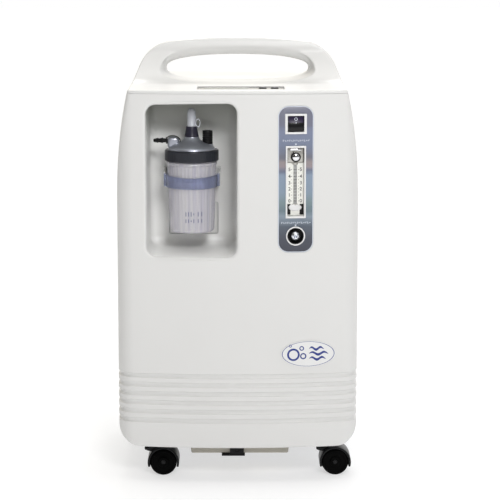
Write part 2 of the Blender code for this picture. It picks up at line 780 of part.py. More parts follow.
def make_caster(name, x, y, heading):
    """One swivel caster. Its own X is the way it trails; its origin is on the swivel axis."""
    swivel = at(x, y, 0) @ Matrix.Rotation(math.radians(heading), 4, "Z")
    hub = swivel @ at(CASTER_TRAIL, 0, WHEEL_RADIUS)
    across = hub @ Matrix.Rotation(-math.pi / 2, 4, "X")

    roof_top = arc((0, 0), HOOD_RADIUS, -18, 198, 9)
    roof_under = arc((0, 0), WHEEL_RADIUS + 0.6 * MM, 198, -18, 9)
    half = WHEEL_WIDTH + 5.6 * MM
    web_half = 4.2 * MM
    fork = plate(
        f"{name}_fork", roof_top + roof_under, -half, half, parts, BLACK_PLASTIC, swivel,
        facing="FRONT",
    )
    bmesh_shift(fork, (CASTER_TRAIL, 0, WHEEL_RADIUS))
    web = plate(
        f"{name}_web", arc((0, 0), 22 * MM, 0, 337.5, 15), -web_half, web_half, helpers,
        place=swivel, facing="FRONT",
    )
    bmesh_shift(web, (CASTER_TRAIL, 0, WHEEL_RADIUS))
    foot = box(f"{name}_web_cut", (-0.03, -0.03, -0.03), (0.07, 0.03, 5 * MM), helpers, place=swivel)
    cut(web, foot)
    stem = rod(f"{name}_stem", 5 * MM, 38 * MM, CABINET_BOTTOM - GAP, 8, helpers, place=swivel)
    neck = rod(f"{name}_neck", 10 * MM, 41 * MM, 47.5 * MM, 10, helpers, place=swivel)
    axle = rod(f"{name}_axle", 3 * MM, -half + 2 * MM, half - 2 * MM, 8, helpers, place=across)
    join(fork, web, neck, stem, axle)

    inner = web_half + 0.5 * MM
    outer = web_half + WHEEL_WIDTH
    for side, start, end in (("left", -outer, -inner), ("right", inner, outer)):
        tread = [
            (3.4 * MM, end),
            (WHEEL_RADIUS - 2 * MM, end),
            (WHEEL_RADIUS, end - 2 * MM),
            (WHEEL_RADIUS, start + 2 * MM),
            (WHEEL_RADIUS - 2 * MM, start),
            (3.4 * MM, start),
        ]
        turned(f"{name}_wheel_{side}", tread, 16, parts, BLACK_PLASTIC, across, ring=True)


def bmesh_shift(obj, offset):
    obj.data.transform(Matrix.Translation(offset))


# ---------------------------------------------------------------- inner works


def make_compressor():
    body = box("compressor", (-0.035, -0.105, 0.082), (0.115, 0.020, 0.150), parts, ALUMINIUM)
    motor = rod(
        "motor", 55 * MM, -0.078, 0.078, 24, helpers,
        place=lying(0.04, -0.0425, 0.128, "+Y"),
    )
    heads = box("heads", (0.020, -0.075, 0.150), (0.060, -0.010, 0.222), helpers)
    join(body, motor, heads)
    for number, (x, y) in enumerate(((-0.02, -0.09), (0.1, -0.09), (-0.02, 0.005), (0.1, 0.005))):
        foot = rod(f"rubber_foot_{number}", 11 * MM, 0.0618, 0.084, 12, helpers, place=at(x, y, 0))
        join(body, foot)


def make_sieve_bed():
    for side, x in (("left", -0.120), ("right", -0.036)):
        profile = [
            (0, 0.420), (0.030, 0.420), (0.040, 0.416), (0.040, 0.404), (0.037, 0.404),
            (0.037, 0.080), (0.040, 0.080), (0.040, 0.0625), (0, 0.0625),
        ]
        turned(f"sieve_tower_{side}", profile, 16, parts, ALUMINIUM, at(x, 0.120, 0))
    tank = [(0, 0.330), (0.028, 0.328), (0.036, 0.318), (0.036, 0.074), (0.028, 0.0640), (0, 0.0625)]
    turned("product_tank", tank, 16, parts, ALUMINIUM, at(0.05, 0.125, 0))
    manifold = box("valve_manifold", (-0.140, 0.095, 0.4205), (-0.016, 0.145, 0.450), parts, ALUMINIUM)
    for number in range(4):
        coil = rod(
            f"solenoid_{number}", 9 * MM, 0.448, 0.486, 12, helpers,
            place=at(-0.125 + 0.031 * number, 0.12, 0),
        )
        join(manifold, coil)


def make_cooling():
    turns = 3
    per_turn = 12
    points = []
    for step in range(turns * per_turn + 1):
        angle = 2 * math.pi * step / per_turn
        radius = (34 + 11 * step / per_turn) * MM
        points.append((0.04 + radius * math.cos(angle), -0.0425 + radius * math.sin(angle), 0.231))
    wire("cooling_coil", points, 3.2 * MM, COPPER, 1)

    frame = box("fan_frame", (-0.020, -0.1025, 0.236), (0.100, 0.0175, 0.261), parts, BLACK_PLASTIC)
    throat = rod("fan_throat", 57 * MM, 0.230, 0.270, 28, helpers, place=at(0.04, -0.0425, 0))
    strut = box("fan_strut", (-0.019, -0.0445, 0.2362), (0.099, -0.0405, 0.239), helpers)
    boss = rod("fan_boss", 16 * MM, 0.2362, 0.239, 16, helpers, place=at(0.04, -0.0425, 0))
    cut(frame, throat)
    join(frame, strut, boss)

    rotor = rod("fan_rotor", 19 * MM, 0, 19.5 * MM, 20, parts, BLACK_PLASTIC, at(0.04, -0.0425, 0.2395))
    for number in range(7):
        blade = box(
            f"blade_{number}",
            (15 * MM, -0.9 * MM, -9 * MM),
            (54.5 * MM, 0.9 * MM, 9 * MM),
            helpers,
            place=at(0.04, -0.0425, 0.2500)
            @ Matrix.Rotation(2 * math.pi * number / 7, 4, "Z")
            @ Matrix.Rotation(math.radians(52), 4, "X"),
        )
        join(rotor, blade)


def make_air_path():
    box("intake_filter", (-0.0598, 0.1625, 0.3002), (0.0598, 0.1782, 0.4198), parts, GREY_FOAM)
    silencer = box("intake_silencer", (0.096, 0.060, 0.300), (0.166, 0.160, 0.420), parts, GREY_FOAM)
    spout = rod("silencer_spout", 9 * MM, 0.284, 0.304, 14, helpers, place=at(0.13, 0.09, 0))
    join(silencer, spout)
    profile = [
        (0, 0.031), (0.005, 0.031), (0.005, 0.022), (0.022, 0.018), (0.024, 0.012), (0.022, 0.006),
        (0.005, 0.002), (0.005, -0.007), (0, -0.007),
    ]
    turned("bacteria_filter", profile, 14, parts, TRIM_WHITE, at(0.045, 0.0, 0.500))
    board = box("control_board", (0.020, -0.052, 0.335), (0.022, 0.060, 0.475), parts, BOARD_GREEN)
    for number, (y, z, wide, tall) in enumerate(
        ((-0.03, 0.36, 0.02, 0.03), (0.0, 0.42, 0.03, 0.025), (0.03, 0.36, 0.02, 0.05)),
    ):
        chip = box(f"chip_{number}", (0.0215, y, z), (0.036, y + wide, z + tall), helpers)
        join(board, chip)


def make_rear_fittings():
    grille = box("filter_grille", (-0.060, 0.1785, 0.300), (0.060, 0.1898, 0.420), parts, SHELL_WHITE)
    hollow = box("grille_hollow", (-0.056, 0.170, 0.304), (0.056, 0.187, 0.416), helpers)
    slot = box("grille_slot", (-0.050, 0.180, 0.310), (0.050, 0.2, 0.3135), helpers)
    repeat(slot, 10, (0, 0, 10.5 * MM))
    cut(grille, hollow, slot)

    inlet = box("power_inlet", (-0.114, 0.160, 0.107), (-0.066, 0.1893, 0.134), parts, BLACK_PLASTIC)
    socket = box("socket_space", (-0.1025, 0.172, 0.1115), (-0.0775, 0.2, 0.1295), helpers)
    core = box("socket_core", (-0.098, 0.170, 0.1155), (-0.082, 0.187, 0.1245), helpers)
    cut(inlet, socket)
    join(inlet, core)
    button = [(0, -2.0), (3.4, -2.0), (4.0, -2.6), (4.0, -20), (0, -20)]
    turned("breaker_button", scaled(button), 14, parts, BLACK_PLASTIC, lying(-0.04, 0.19, 0.1205, "+Y"))


make_covers()
make_top()
make_base()
make_label()
make_badge()
make_humidifier()
make_caster("front_left", -STEM_X, -STEM_Y, 0)
make_caster("front_right", STEM_X, -STEM_Y, 0)
make_caster("rear_left", -STEM_X, STEM_Y, 90)
make_caster("rear_right", STEM_X, STEM_Y, 90)
make_compressor()
make_sieve_bed()
make_cooling()
make_air_path()
make_rear_fittings()

for obj in parts.objects:
    obj.data.shade_smooth()
    obj.data.set_sharp_from_angle(angle=math.radians(30))
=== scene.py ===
"""Looks of the oxygen concentrator: fine covers, label, bottle, casters and their finishes.

Shapes are drawn in millimetres and become metres when their meshes are made.
"""

import json
import math

import bpy
from mathutils import Matrix, Vector


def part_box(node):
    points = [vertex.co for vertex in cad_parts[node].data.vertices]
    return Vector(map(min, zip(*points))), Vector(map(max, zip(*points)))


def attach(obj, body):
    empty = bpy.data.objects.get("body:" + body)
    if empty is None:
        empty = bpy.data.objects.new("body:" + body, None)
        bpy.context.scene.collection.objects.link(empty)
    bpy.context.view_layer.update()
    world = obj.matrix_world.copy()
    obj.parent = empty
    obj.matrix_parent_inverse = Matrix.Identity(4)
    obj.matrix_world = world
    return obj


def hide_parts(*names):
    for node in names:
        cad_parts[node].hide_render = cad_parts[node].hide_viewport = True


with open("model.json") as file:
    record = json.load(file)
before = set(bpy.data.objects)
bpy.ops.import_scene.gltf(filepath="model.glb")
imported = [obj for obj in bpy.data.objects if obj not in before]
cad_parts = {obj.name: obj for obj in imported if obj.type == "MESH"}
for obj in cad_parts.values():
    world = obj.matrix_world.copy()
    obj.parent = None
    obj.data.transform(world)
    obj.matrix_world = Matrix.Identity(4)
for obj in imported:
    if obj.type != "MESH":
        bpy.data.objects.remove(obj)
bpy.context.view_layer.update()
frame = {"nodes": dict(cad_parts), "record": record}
nodes = frame["nodes"]
slot_of = {entry["node"]: entry["material_slot"] for entry in frame["record"]["subparts"]}

MM = 0.001
WHITE = (1, 1, 1)


def node_box(node):
    """The two corners of a CAD node's box."""
    return [Vector(corner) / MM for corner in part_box(node)]


# The cabinet's form, as the design drew it
FACE_RADIUS = 935
SIDE_CORNER = 30
FOOT_CORNER = 33
SHOULDER = 400
LEAN = 18.2
LEAN_HEIGHT = 199
LEAN_POWER = 2.6
WALL = 3.5
SEAM_Y = -60
DECK = 600

cover_low, cover_high = node_box("front_cover")
deck_low, deck_high = node_box("top_cover")
HALF_WIDTH = cover_high.x
HALF_DEPTH = -cover_low.y
BOTTOM = cover_low.z
COVER_TOP = cover_high.z
LOOP_TOP = deck_high.z

GROOVES = [97.25 + 13.85 * count for count in range(6)]
GROOVE_HALF = 3.9
GROOVE_DEPTH = 2.7


# ---------------------------------------------------------------- hands


def pick(*objects):
    bpy.ops.object.select_all(action="DESELECT")
    for obj in objects:
        obj.select_set(True)
    bpy.context.view_layer.objects.active = objects[0]


def edit(obj):
    pick(obj)
    bpy.ops.object.mode_set(mode="EDIT")
    bpy.ops.mesh.select_all(action="SELECT")


def done():
    bpy.ops.object.mode_set(mode="OBJECT")


def outward(obj):
    edit(obj)
    bpy.ops.mesh.normals_make_consistent(inside=False)
    done()
    return obj


def put(obj, place):
    if place is not None:
        obj.data.transform(place)
    return obj


def fresh(name, place=None):
    """The primitive just added, named, with its place in its mesh."""
    obj = bpy.context.object
    obj.name = name
    obj.data.name = name
    obj.data.transform(obj.matrix_world)
    obj.matrix_world = Matrix.Identity(4)
    return put(obj, place)


def modify(obj, kind, **settings):
    """Adds a modifier and applies it."""
    pick(obj)
    modifier = obj.modifiers.new(kind.lower(), kind)
    for key, value in settings.items():
        setattr(modifier, key, value)
    bpy.ops.object.modifier_apply(modifier=modifier.name)
    return obj


def carve(obj, *cutters, operation="DIFFERENCE"):
    for cutter in cutters:
        modify(obj, "BOOLEAN", operation=operation, solver="EXACT", object=cutter)
        bpy.data.objects.remove(cutter, do_unlink=True)
    return obj


def unite(obj, *others):
    return carve(obj, *others, operation="UNION")


def soften(obj, width, segments=3, angle=40):
    settings = {"limit_method": "ANGLE", "angle_limit": math.radians(angle)}
    return modify(obj, "BEVEL", width=width * MM, segments=segments, **settings)


def block(name, low, high, place=None, width=0.0, segments=3):
    """A box between two corners with softened edges."""
    low, high = Vector(low) * MM, Vector(high) * MM
    bpy.ops.mesh.primitive_cube_add(size=1)
    obj = fresh(name, Matrix.Translation((low + high) / 2) @ Matrix.Diagonal((*(high - low), 1)))
    if width:
        soften(obj, width, segments)
    return put(obj, place)


def rounded(profile, radius, steps):
    """The profile with its corners rounded. The two ends stay as they are."""
    result = [profile[0]]
    for before, corner, after in zip(profile, profile[1:], profile[2:]):
        corner = Vector(corner)
        back = Vector(before) - corner
        on = Vector(after) - corner
        cut = min(radius, back.length * 0.45, on.length * 0.45)
        start = corner + back.normalized() * cut
        end = corner + on.normalized() * cut
        for step in range(steps + 1):
            share = step / steps
            result.append(tuple(start.lerp(corner, share).lerp(corner.lerp(end, share), share)))
    result.append(profile[-1])
    return result


def lathe(name, profile, sides, place=None, ring=False, soft=0.0, steps=3):
    """A turned piece: one circle, drawn out and resized along a profile of (radius, height)."""
    if soft:
        profile = rounded(profile, soft, steps)
    profile = [(max(radius, 0.01) * MM, height * MM) for radius, height in profile]
    radius, height = profile[0]
    bpy.ops.mesh.primitive_circle_add(vertices=sides, radius=radius, location=(0, 0, height))
    obj = fresh(name)
    edit(obj)
    if not ring:
        bpy.ops.mesh.edge_face_add()
        bpy.ops.mesh.select_all(action="SELECT")
    for nearer, further in zip(profile, profile[1:] + (profile[:1] if ring else [])):
        grow = further[0] / nearer[0]
        bpy.ops.mesh.extrude_region_move(TRANSFORM_OT_translate={"value": (0, 0, further[1] - nearer[1])})
        bpy.ops.transform.resize(value=(grow, grow, 1), center_override=(0, 0, further[1]))
    bpy.ops.mesh.select_all(action="SELECT")
    bpy.ops.mesh.remove_doubles(threshold=2.5e-5)
    bpy.ops.mesh.delete_loose()
    bpy.ops.mesh.select_all(action="SELECT")
    bpy.ops.mesh.normals_make_consistent(inside=False)
    done()
    return put(obj, place)


def from_curve(name, curve):
    """The curve as a mesh object."""
    curve_object = bpy.data.objects.new(name, curve)
    bpy.context.scene.collection.objects.link(curve_object)
    pick(curve_object)
    bpy.ops.object.convert(target="MESH")
    return bpy.context.object


def slab(name, outline, low, high, place=None, width=0.0, segments=2):
    """A flat outline drawn in X and Z and given a depth along Y."""
    curve = bpy.data.curves.new(name, "CURVE")
    curve.dimensions = "2D"
    curve.fill_mode = "BOTH"
    curve.extrude = (high - low) / 2 * MM
    spline = curve.splines.new("POLY")
    spline.points.add(len(outline) - 1)
    for point, (across, up) in zip(spline.points, outline):
        point.co = (across * MM, up * MM, 0, 1)
    spline.use_cyclic_u = True
    obj = from_curve(name, curve)
    obj.data.transform(at(0, (low + high) / 2, 0) @ Matrix.Rotation(math.pi / 2, 4, "X"))
    edit(obj)
    bpy.ops.mesh.remove_doubles(threshold=1e-6)
    bpy.ops.mesh.dissolve_limited(angle_limit=math.radians(0.5))
    bpy.ops.mesh.select_all(action="SELECT")
    bpy.ops.mesh.normals_make_consistent(inside=False)
    done()
    if width:
        soften(obj, width, segments, 50)
    return put(obj, place)


def arc(centre, radius, start, end, steps):
    turns = [math.radians(start + (end - start) * step / steps) for step in range(steps + 1)]
    return [(centre[0] + radius * math.cos(turn), centre[1] + radius * math.sin(turn)) for turn in turns]


def round_rectangle(width, height, radius, centre=(0, 0), steps=8):
    outline = []
    for quarter, (side_x, side_z) in enumerate(((1, -1), (1, 1), (-1, 1), (-1, -1))):
        middle = (centre[0] + side_x * (width / 2 - radius), centre[1] + side_z * (height / 2 - radius))
        outline += arc(middle, radius, 90 * quarter - 90, 90 * quarter, steps)
    return outline


def strand(name, points, radius):
    """A smooth round wire through points, as a mesh."""
    curve = bpy.data.curves.new(name, "CURVE")
    curve.dimensions = "3D"
    curve.bevel_depth = radius * MM
    curve.bevel_resolution = 3
    curve.use_fill_caps = True
    spline = curve.splines.new("BEZIER")
    spline.bezier_points.add(len(points) - 1)
    for knot, point in zip(spline.bezier_points, points):
        knot.co = Vector(point) * MM
        knot.handle_left_type = "AUTO"
        knot.handle_right_type = "AUTO"
    obj = from_curve(name, curve)
    edit(obj)
    bpy.ops.mesh.remove_doubles(threshold=1e-6)
    bpy.ops.mesh.normals_make_consistent(inside=False)
    done()
    return obj


def lettering(name, words, size, place, depth=0.12):
    """Scale figures, as a thin mesh that lies in X and Z."""
    bpy.ops.object.text_add()
    obj = bpy.context.object
    obj.data.body = words
    obj.data.size = size * MM
    obj.data.align_x = "CENTER"
    obj.data.align_y = "CENTER"
    obj.data.extrude = depth / 2 * MM
    obj.data.resolution_u = 3
    obj.data.offset = size * 0.012 * MM
    bpy.ops.object.convert(target="MESH")
    obj = fresh(name, place @ Matrix.Rotation(math.pi / 2, 4, "X"))
    edit(obj)
    bpy.ops.mesh.remove_doubles(threshold=1e-7)
    done()
    return obj


def merge(name, *objects):
    """Several shapes of one finish made one piece."""
    pick(*objects)
    if len(objects) > 1:
        bpy.ops.object.join()
    obj = bpy.context.object
    obj.name = name
    obj.data.name = name
    return obj


def at(x, y, z):
    return Matrix.Translation(Vector((x, y, z)) * MM)


def lying(x, y, z, axis):
    """A place whose own Z points along a world axis."""
    quarter, about = {"-X": (-1, "Y"), "+X": (1, "Y"), "+Y": (-1, "X"), "-Y": (1, "X")}[axis]
    return at(x, y, z) @ Matrix.Rotation(quarter * math.pi / 2, 4, about)


def stack(name, rings, closed=True):
    """A skin drawn through rows of points: a grid whose points are then placed."""
    rows, count = len(rings), len(rings[0])
    columns = count + 1 if closed else count
    bpy.ops.mesh.primitive_grid_add(x_subdivisions=columns - 1, y_subdivisions=rows - 1, size=1)
    obj = fresh(name)
    for index, vertex in enumerate(obj.data.vertices):
        row, column = divmod(index, columns)
        vertex.co = rings[row][column % count] * MM
    edit(obj)
    bpy.ops.mesh.remove_doubles(threshold=1e-7)
    if closed:
        bpy.ops.mesh.select_all(action="SELECT")
        bpy.ops.mesh.fill_holes(sides=0)
        bpy.ops.mesh.select_all(action="SELECT")
        bpy.ops.mesh.normals_make_consistent(inside=False)
    done()
    return obj


def fit(obj, finish, body, *replaced, angle=35, slot=None):
    """Gives a finished piece its shading, material and body, and hides the CAD nodes it replaces."""
    if angle:
        pick(obj)
        bpy.ops.object.shade_smooth_by_angle(angle=math.radians(angle))
    obj.data.materials.clear()
    obj.data.materials.append(FINISH[finish])
    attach(obj, body)
    if replaced:
        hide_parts(*replaced)
    return obj


# ---------------------------------------------------------------- finishes


def wire(tree, node, **settings):
    """Sets a shader node's inputs, each to a value or to another node's output."""
    for key, value in settings.items():
        socket = node.inputs[key.replace("_", " ")]
        if isinstance(value, bpy.types.NodeSocket):
            tree.links.new(value, socket)
        else:
            socket.default_value = value
    return node


def add(tree, kind, **settings):
    return wire(tree, tree.nodes.new("ShaderNode" + kind), **settings)


def shader_of(name):
    material = bpy.data.materials.new(name)
    material.use_nodes = True
    return material, material.node_tree, material.node_tree.nodes["Principled BSDF"]


def coordinate(tree, axis, space="Object"):
    place = add(tree, "TexCoord").outputs[space]
    return add(tree, "SeparateXYZ", Vector=place).outputs[axis]


def noise(tree, scale, detail=3.0, roughness=0.5, stretch=(1, 1, 1)):
    mapping = add(tree, "Mapping", Vector=add(tree, "TexCoord").outputs["Object"], Scale=stretch)
    place = mapping.outputs["Vector"]
    return add(tree, "TexNoise", Vector=place, Scale=scale, Detail=detail, Roughness=roughness).outputs["Fac"]


def spread(tree, value, low, high, from_low=0.35, from_high=0.65):
    limits = {"From_Min": from_low, "From_Max": from_high, "To_Min": low, "To_Max": high}
    return add(tree, "MapRange", Value=value, **limits).outputs["Result"]


def ramp(tree, value, stops):
    """Colours blended along a value, from stops of (position, colour)."""
    node = add(tree, "ValToRGB", Fac=value)
    points = node.color_ramp.elements
    for index, (position, colour) in enumerate(stops):
        point = points[index] if index < 2 else points.new(position)
        point.position = position
        point.color = (*colour, 1)
    return node.outputs["Color"]


def blend_colours(tree, value, shade, colour):
    """A drift between a colour and a darker shade of it."""
    return ramp(tree, value, ((0.35, tuple(channel * shade for channel in colour)), (0.65, colour)))


def bump(tree, value, strength, distance):
    return add(tree, "Bump", Height=value, Strength=strength, Distance=distance * MM).outputs["Normal"]


def sum_of(tree, first, second):
    node = add(tree, "Math")
    tree.links.new(first, node.inputs[0])
    tree.links.new(second, node.inputs[1])
    return node.outputs["Value"]


def moulded(
    name, colour, roughness, shade=0.97, grain=900, relief=0.10, depth=0.05, coat=0.0, shine=0.5, metallic=0.0
):
    """Moulded plastic: a fine spark-eroded grain, a slow drift of tone and slightly uneven gloss."""
    material, tree, shader = shader_of(name)
    wire(
        tree,
        shader,
        Base_Color=blend_colours(tree, noise(tree, 9, 4), shade, colour),
        Roughness=spread(tree, noise(tree, 40, 4), roughness * 0.92, roughness * 1.08),
        Normal=bump(tree, noise(tree, grain, 2), relief, depth),
        Coat_Weight=coat,
        Coat_Roughness=0.15,
        Specular_IOR_Level=shine,
        Metallic=metallic,
    )
    return material


def metal(name, colour, roughness, stretch=(1, 1, 30), scale=60):
    """Drawn or turned metal: fine streaks in tone and gloss."""
    material, tree, shader = shader_of(name)
    streaks = noise(tree, scale, 5, 0.6, stretch)
    wire(
        tree,
        shader,
        Metallic=1.0,
        Base_Color=blend_colours(tree, streaks, 0.86, colour),
        Roughness=spread(tree, streaks, roughness * 0.75, roughness * 1.3),
        Normal=bump(tree, streaks, 0.08, 0.05),
    )
    return material


def see_through(name, colour, roughness, clear):
    """Clear or tinted plastic, with faint flow marks."""
    material, tree, shader = shader_of(name)
    flow = noise(tree, 55, 3, 0.5, (1, 1, 0.25))
    wire(
        tree,
        shader,
        Base_Color=blend_colours(tree, flow, 0.93, colour),
        Roughness=spread(tree, flow, roughness * 0.8, roughness * 1.25),
        Normal=bump(tree, flow, 0.12, 0.1),
        Transmission_Weight=clear,
        IOR=1.42,
    )
    return material


def fluted_clear(name, colour, shaded):
    """The jar's clear plastic: upright streaks of relief, and upright streaks of tone painted in as highlight
    streaks.
    """
    material = see_through(name, colour, 0.07, 0.64)
    tree = material.node_tree
    streaks = noise(tree, 210, 2, 0.55, (1, 1, 0.012))
    # Painted highlights: the tone runs in upright streaks from a darker lilac to near white, standing in for the
    # bright highlight lines on the jar.
    tone = ramp(tree, streaks, ((0.35, shaded), (0.65, colour)))
    wire(tree, tree.nodes["Principled BSDF"], Base_Color=tone, Normal=bump(tree, streaks, 0.55, 0.6))
    return material


SKY_BANDS = (
    (0.02, (0.045, 0.048, 0.066)), (0.12, (0.056, 0.062, 0.085)), (0.20, (0.082, 0.100, 0.130)),
    (0.27, (0.220, 0.270, 0.325)), (0.31, (0.135, 0.185, 0.215)), (0.37, (0.180, 0.245, 0.265)),
    (0.44, (0.215, 0.280, 0.360)), (0.55, (0.225, 0.285, 0.375)), (0.585, (0.135, 0.155, 0.225)),
    (0.612, (0.280, 0.240, 0.262)), (0.645, (0.275, 0.235, 0.240)), (0.675, (0.150, 0.155, 0.195)),
    (0.76, (0.170, 0.200, 0.285)), (0.85, (0.190, 0.215, 0.310)), (0.90, (0.160, 0.166, 0.225)),
    (0.98, (0.165, 0.170, 0.222)),
)


def sky_print(name, low, high):
    """The label's printed evening sky: bands of tone from top to bottom, with long thin clouds."""
    material, tree, shader = shader_of(name)
    height = spread(tree, coordinate(tree, "Z"), 0.0, 1.0, low * MM, high * MM)
    drift = add(tree, "Math")
    drift.operation = "MULTIPLY_ADD"
    drift.inputs[1].default_value = 0.05
    tree.links.new(noise(tree, 22, 4, 0.6, (1, 1, 5)), drift.inputs[0])
    tree.links.new(height, drift.inputs[2])
    wire(
        tree,
        shader,
        Base_Color=ramp(tree, drift.outputs["Value"], SKY_BANDS),
        Roughness=spread(tree, noise(tree, 300, 3), 0.30, 0.38),
        Normal=bump(tree, noise(tree, 1500, 2), 0.08, 0.03),
    )
    return material


def recess_finish(name):
    """The bay's lining: the shell's plastic, painted much lighter as painted light inside the bay, with a dark olive
    painted shade towards its roof.
    """
    # Painted light: the lining's base colour is much lighter than the shell's own, to brighten the inside of the
    # bay.
    material = moulded(name, (0.92, 0.92, 0.905), 0.34, 0.985)
    tree = material.node_tree
    shader = tree.nodes["Principled BSDF"]
    tone = shader.inputs["Base Color"].links[0].from_socket
    mixed = add(tree, "Mix")
    mixed.data_type = "RGBA"
    # Painted shade: a dark olive tone blended in over the top of the bay, where the roof's shade falls.
    height = spread(tree, coordinate(tree, "Z"), 1.0, 0.0, 0.520, 0.581)
    wire(tree, mixed, Factor=height, A=(0.27, 0.28, 0.24, 1), B=tone)
    wire(tree, shader, Base_Color=mixed.outputs["Result"])
    return material


label_low, label_high = node_box("control_label")

FINISH = {
    "shell": moulded("shell_white", (0.70, 0.698, 0.688), 0.36, 0.985),
    "recess": recess_finish("bay_lining_painted_light_shade"),
    "trim": moulded("trim_white", (0.76, 0.76, 0.76), 0.30, 0.98),
    "print": sky_print("label_print", label_low.z, label_high.z),
    "mark": moulded("pale_marks", (0.62, 0.66, 0.74), 0.45, 0.95),
    "ink": moulded("scale_ink", (0.02, 0.02, 0.025), 0.45, 0.8),
    "black": moulded("black_plastic", (0.007, 0.007, 0.008), 0.36, 0.75, relief=0.2, shine=0.22),
    "gloss": moulded("gloss_black", (0.006, 0.006, 0.007), 0.22, 0.8, relief=0.04, shine=0.3),
    "wheel": moulded("wheel_black", (0.003, 0.003, 0.003), 0.55, 0.7, relief=0.25, depth=0.1, shine=0.03),
    "nut": moulded("dark_nut", (0.014, 0.016, 0.024), 0.30, 0.8, shine=0.4),
    "dome": moulded("dome_blue", (0.46, 0.48, 0.55), 0.36, 0.94, relief=0.05, coat=0.4, metallic=0.7),
    "stem": moulded("neck_dark", (0.030, 0.028, 0.045), 0.34, 0.85, relief=0.06, shine=0.25),
    "jar": fluted_clear("jar_clear_painted_streaks", (0.99, 0.98, 0.99), (0.80, 0.78, 0.88)),
    "acrylic": see_through("acrylic_clear", (0.96, 0.97, 0.96), 0.05, 0.70),
    "collar": see_through("collar_blue", (0.60, 0.65, 0.85), 0.10, 0.88),
    "cap": see_through("cap_milky", (0.86, 0.88, 0.95), 0.22, 0.45),
    "chrome": metal("chrome", (0.80, 0.81, 0.84), 0.10, (1, 1, 4), 200),
    "pearl": metal("port_pearl", (0.86, 0.89, 0.96), 0.30, (1, 1, 4), 200),
    "satin": metal("meter_head_metal", (0.50, 0.49, 0.46), 0.30, (1, 30, 1), 80),
    "steel": metal("steel", (0.55, 0.56, 0.58), 0.34, (1, 20, 1)),
    "aluminium": metal("aluminium", (0.68, 0.69, 0.70), 0.36),
    "copper": metal("copper", (0.72, 0.38, 0.22), 0.28, (8, 8, 8)),
    "beige": moulded("beige_plastic", (0.53, 0.50, 0.43), 0.48, 0.94),
    "pan": moulded("pan_grey", (0.30, 0.30, 0.31), 0.50, 0.9),
    "foam": moulded("grey_foam", (0.10, 0.10, 0.11), 0.92, 0.5, 500, 0.9, 0.8),
    "board": moulded("board_green", (0.03, 0.18, 0.09), 0.42, 0.85),
    "glass": moulded("display_dark", (0.03, 0.03, 0.035), 0.12, 0.9, relief=0.02),
    "lcd": moulded("display_pane", (0.20, 0.22, 0.20), 0.20, 0.92, relief=0.02),
    "navy": moulded("badge_navy", (0.012, 0.035, 0.24), 0.30, 0.9, relief=0.04),
    "paper": moulded("scale_plate", (0.86, 0.86, 0.81), 0.42, 0.96),
    # Painted sheen: a lighter purple for the rocker's upper half, for the light that half catches from above.
    "lamp": moulded("rocker_painted_sheen", (0.022, 0.014, 0.045), 0.30, 0.8, relief=0.03, shine=0.2),
    "level": moulded("level_ink", (0.10, 0.11, 0.19), 0.5, 0.9),
    "tube": see_through("tube_grey", (0.55, 0.58, 0.75), 0.15, 0.6),
}

# Every carried-over node starts with its slot's finish.
SLOT_FINISH = {
    "shell_white": "shell", "trim_white": "trim", "label_print": "print", "black_plastic": "black",
    "dark_nut": "nut", "clear_plastic": "jar", "dome_blue": "dome", "collar_blue": "collar",
    "chrome": "chrome", "steel": "steel", "aluminium": "aluminium", "copper": "copper",
    "beige_plastic": "beige", "grey_foam": "foam", "board_green": "board", "display_dark": "glass",
    "badge_blue": "navy",
}
for node_name, node in nodes.items():
    node.data.materials.clear()
    node.data.materials.append(FINISH[SLOT_FINISH[slot_of[node_name]]])


# ---------------------------------------------------------------- cabinet form

CORNER_X = HALF_WIDTH - SIDE_CORNER
FACE_CENTRE = FACE_RADIUS - HALF_DEPTH
CORNER_Y = FACE_CENTRE - math.sqrt((FACE_RADIUS - SIDE_CORNER) ** 2 - CORNER_X**2)
MEET = math.atan2(CORNER_Y - FACE_CENTRE, CORNER_X)
BACK_Y = HALF_DEPTH - SIDE_CORNER


def face_y(x):
    return FACE_CENTRE - math.sqrt(FACE_RADIUS**2 - x * x)


def side_x(height):
    """Half the cabinet's width at a height: a round foot, a straight side and a lean at the shoulder."""
    foot = BOTTOM + FOOT_CORNER
    if height < foot:
        return HALF_WIDTH - FOOT_CORNER + math.sqrt(max(FOOT_CORNER**2 - (foot - height) ** 2, 0))
    if height > SHOULDER:
        return HALF_WIDTH - LEAN * ((height - SHOULDER) / LEAN_HEIGHT) ** LEAN_POWER
    return HALF_WIDTH


def front_stops():
    """The right half of the plan from the middle of the front to the seam, as arcs' centres and angles."""
    stops = [(0.0, FACE_CENTRE, FACE_RADIUS, -math.pi / 2 + (MEET + math.pi / 2) * k / 32) for k in range(33)]
    stops += [(CORNER_X, CORNER_Y, SIDE_CORNER, MEET * (1 - k / 12)) for k in range(1, 13)]
    stops += [(CORNER_X, CORNER_Y + (SEAM_Y - CORNER_Y) * k / 5, SIDE_CORNER, 0.0) for k in range(1, 6)]
    return stops


def back_stops():
    """The right half of the plan from the seam to the middle of the back."""
    stops = [(CORNER_X, SEAM_Y + (BACK_Y - SEAM_Y) * k / 8, SIDE_CORNER, 0.0) for k in range(9)]
    stops += [(CORNER_X, BACK_Y, SIDE_CORNER, math.pi / 2 * k / 12) for k in range(1, 13)]
    stops += [(CORNER_X * (1 - k / 8), BACK_Y, SIDE_CORNER, math.pi / 2) for k in range(1, 9)]
    return stops


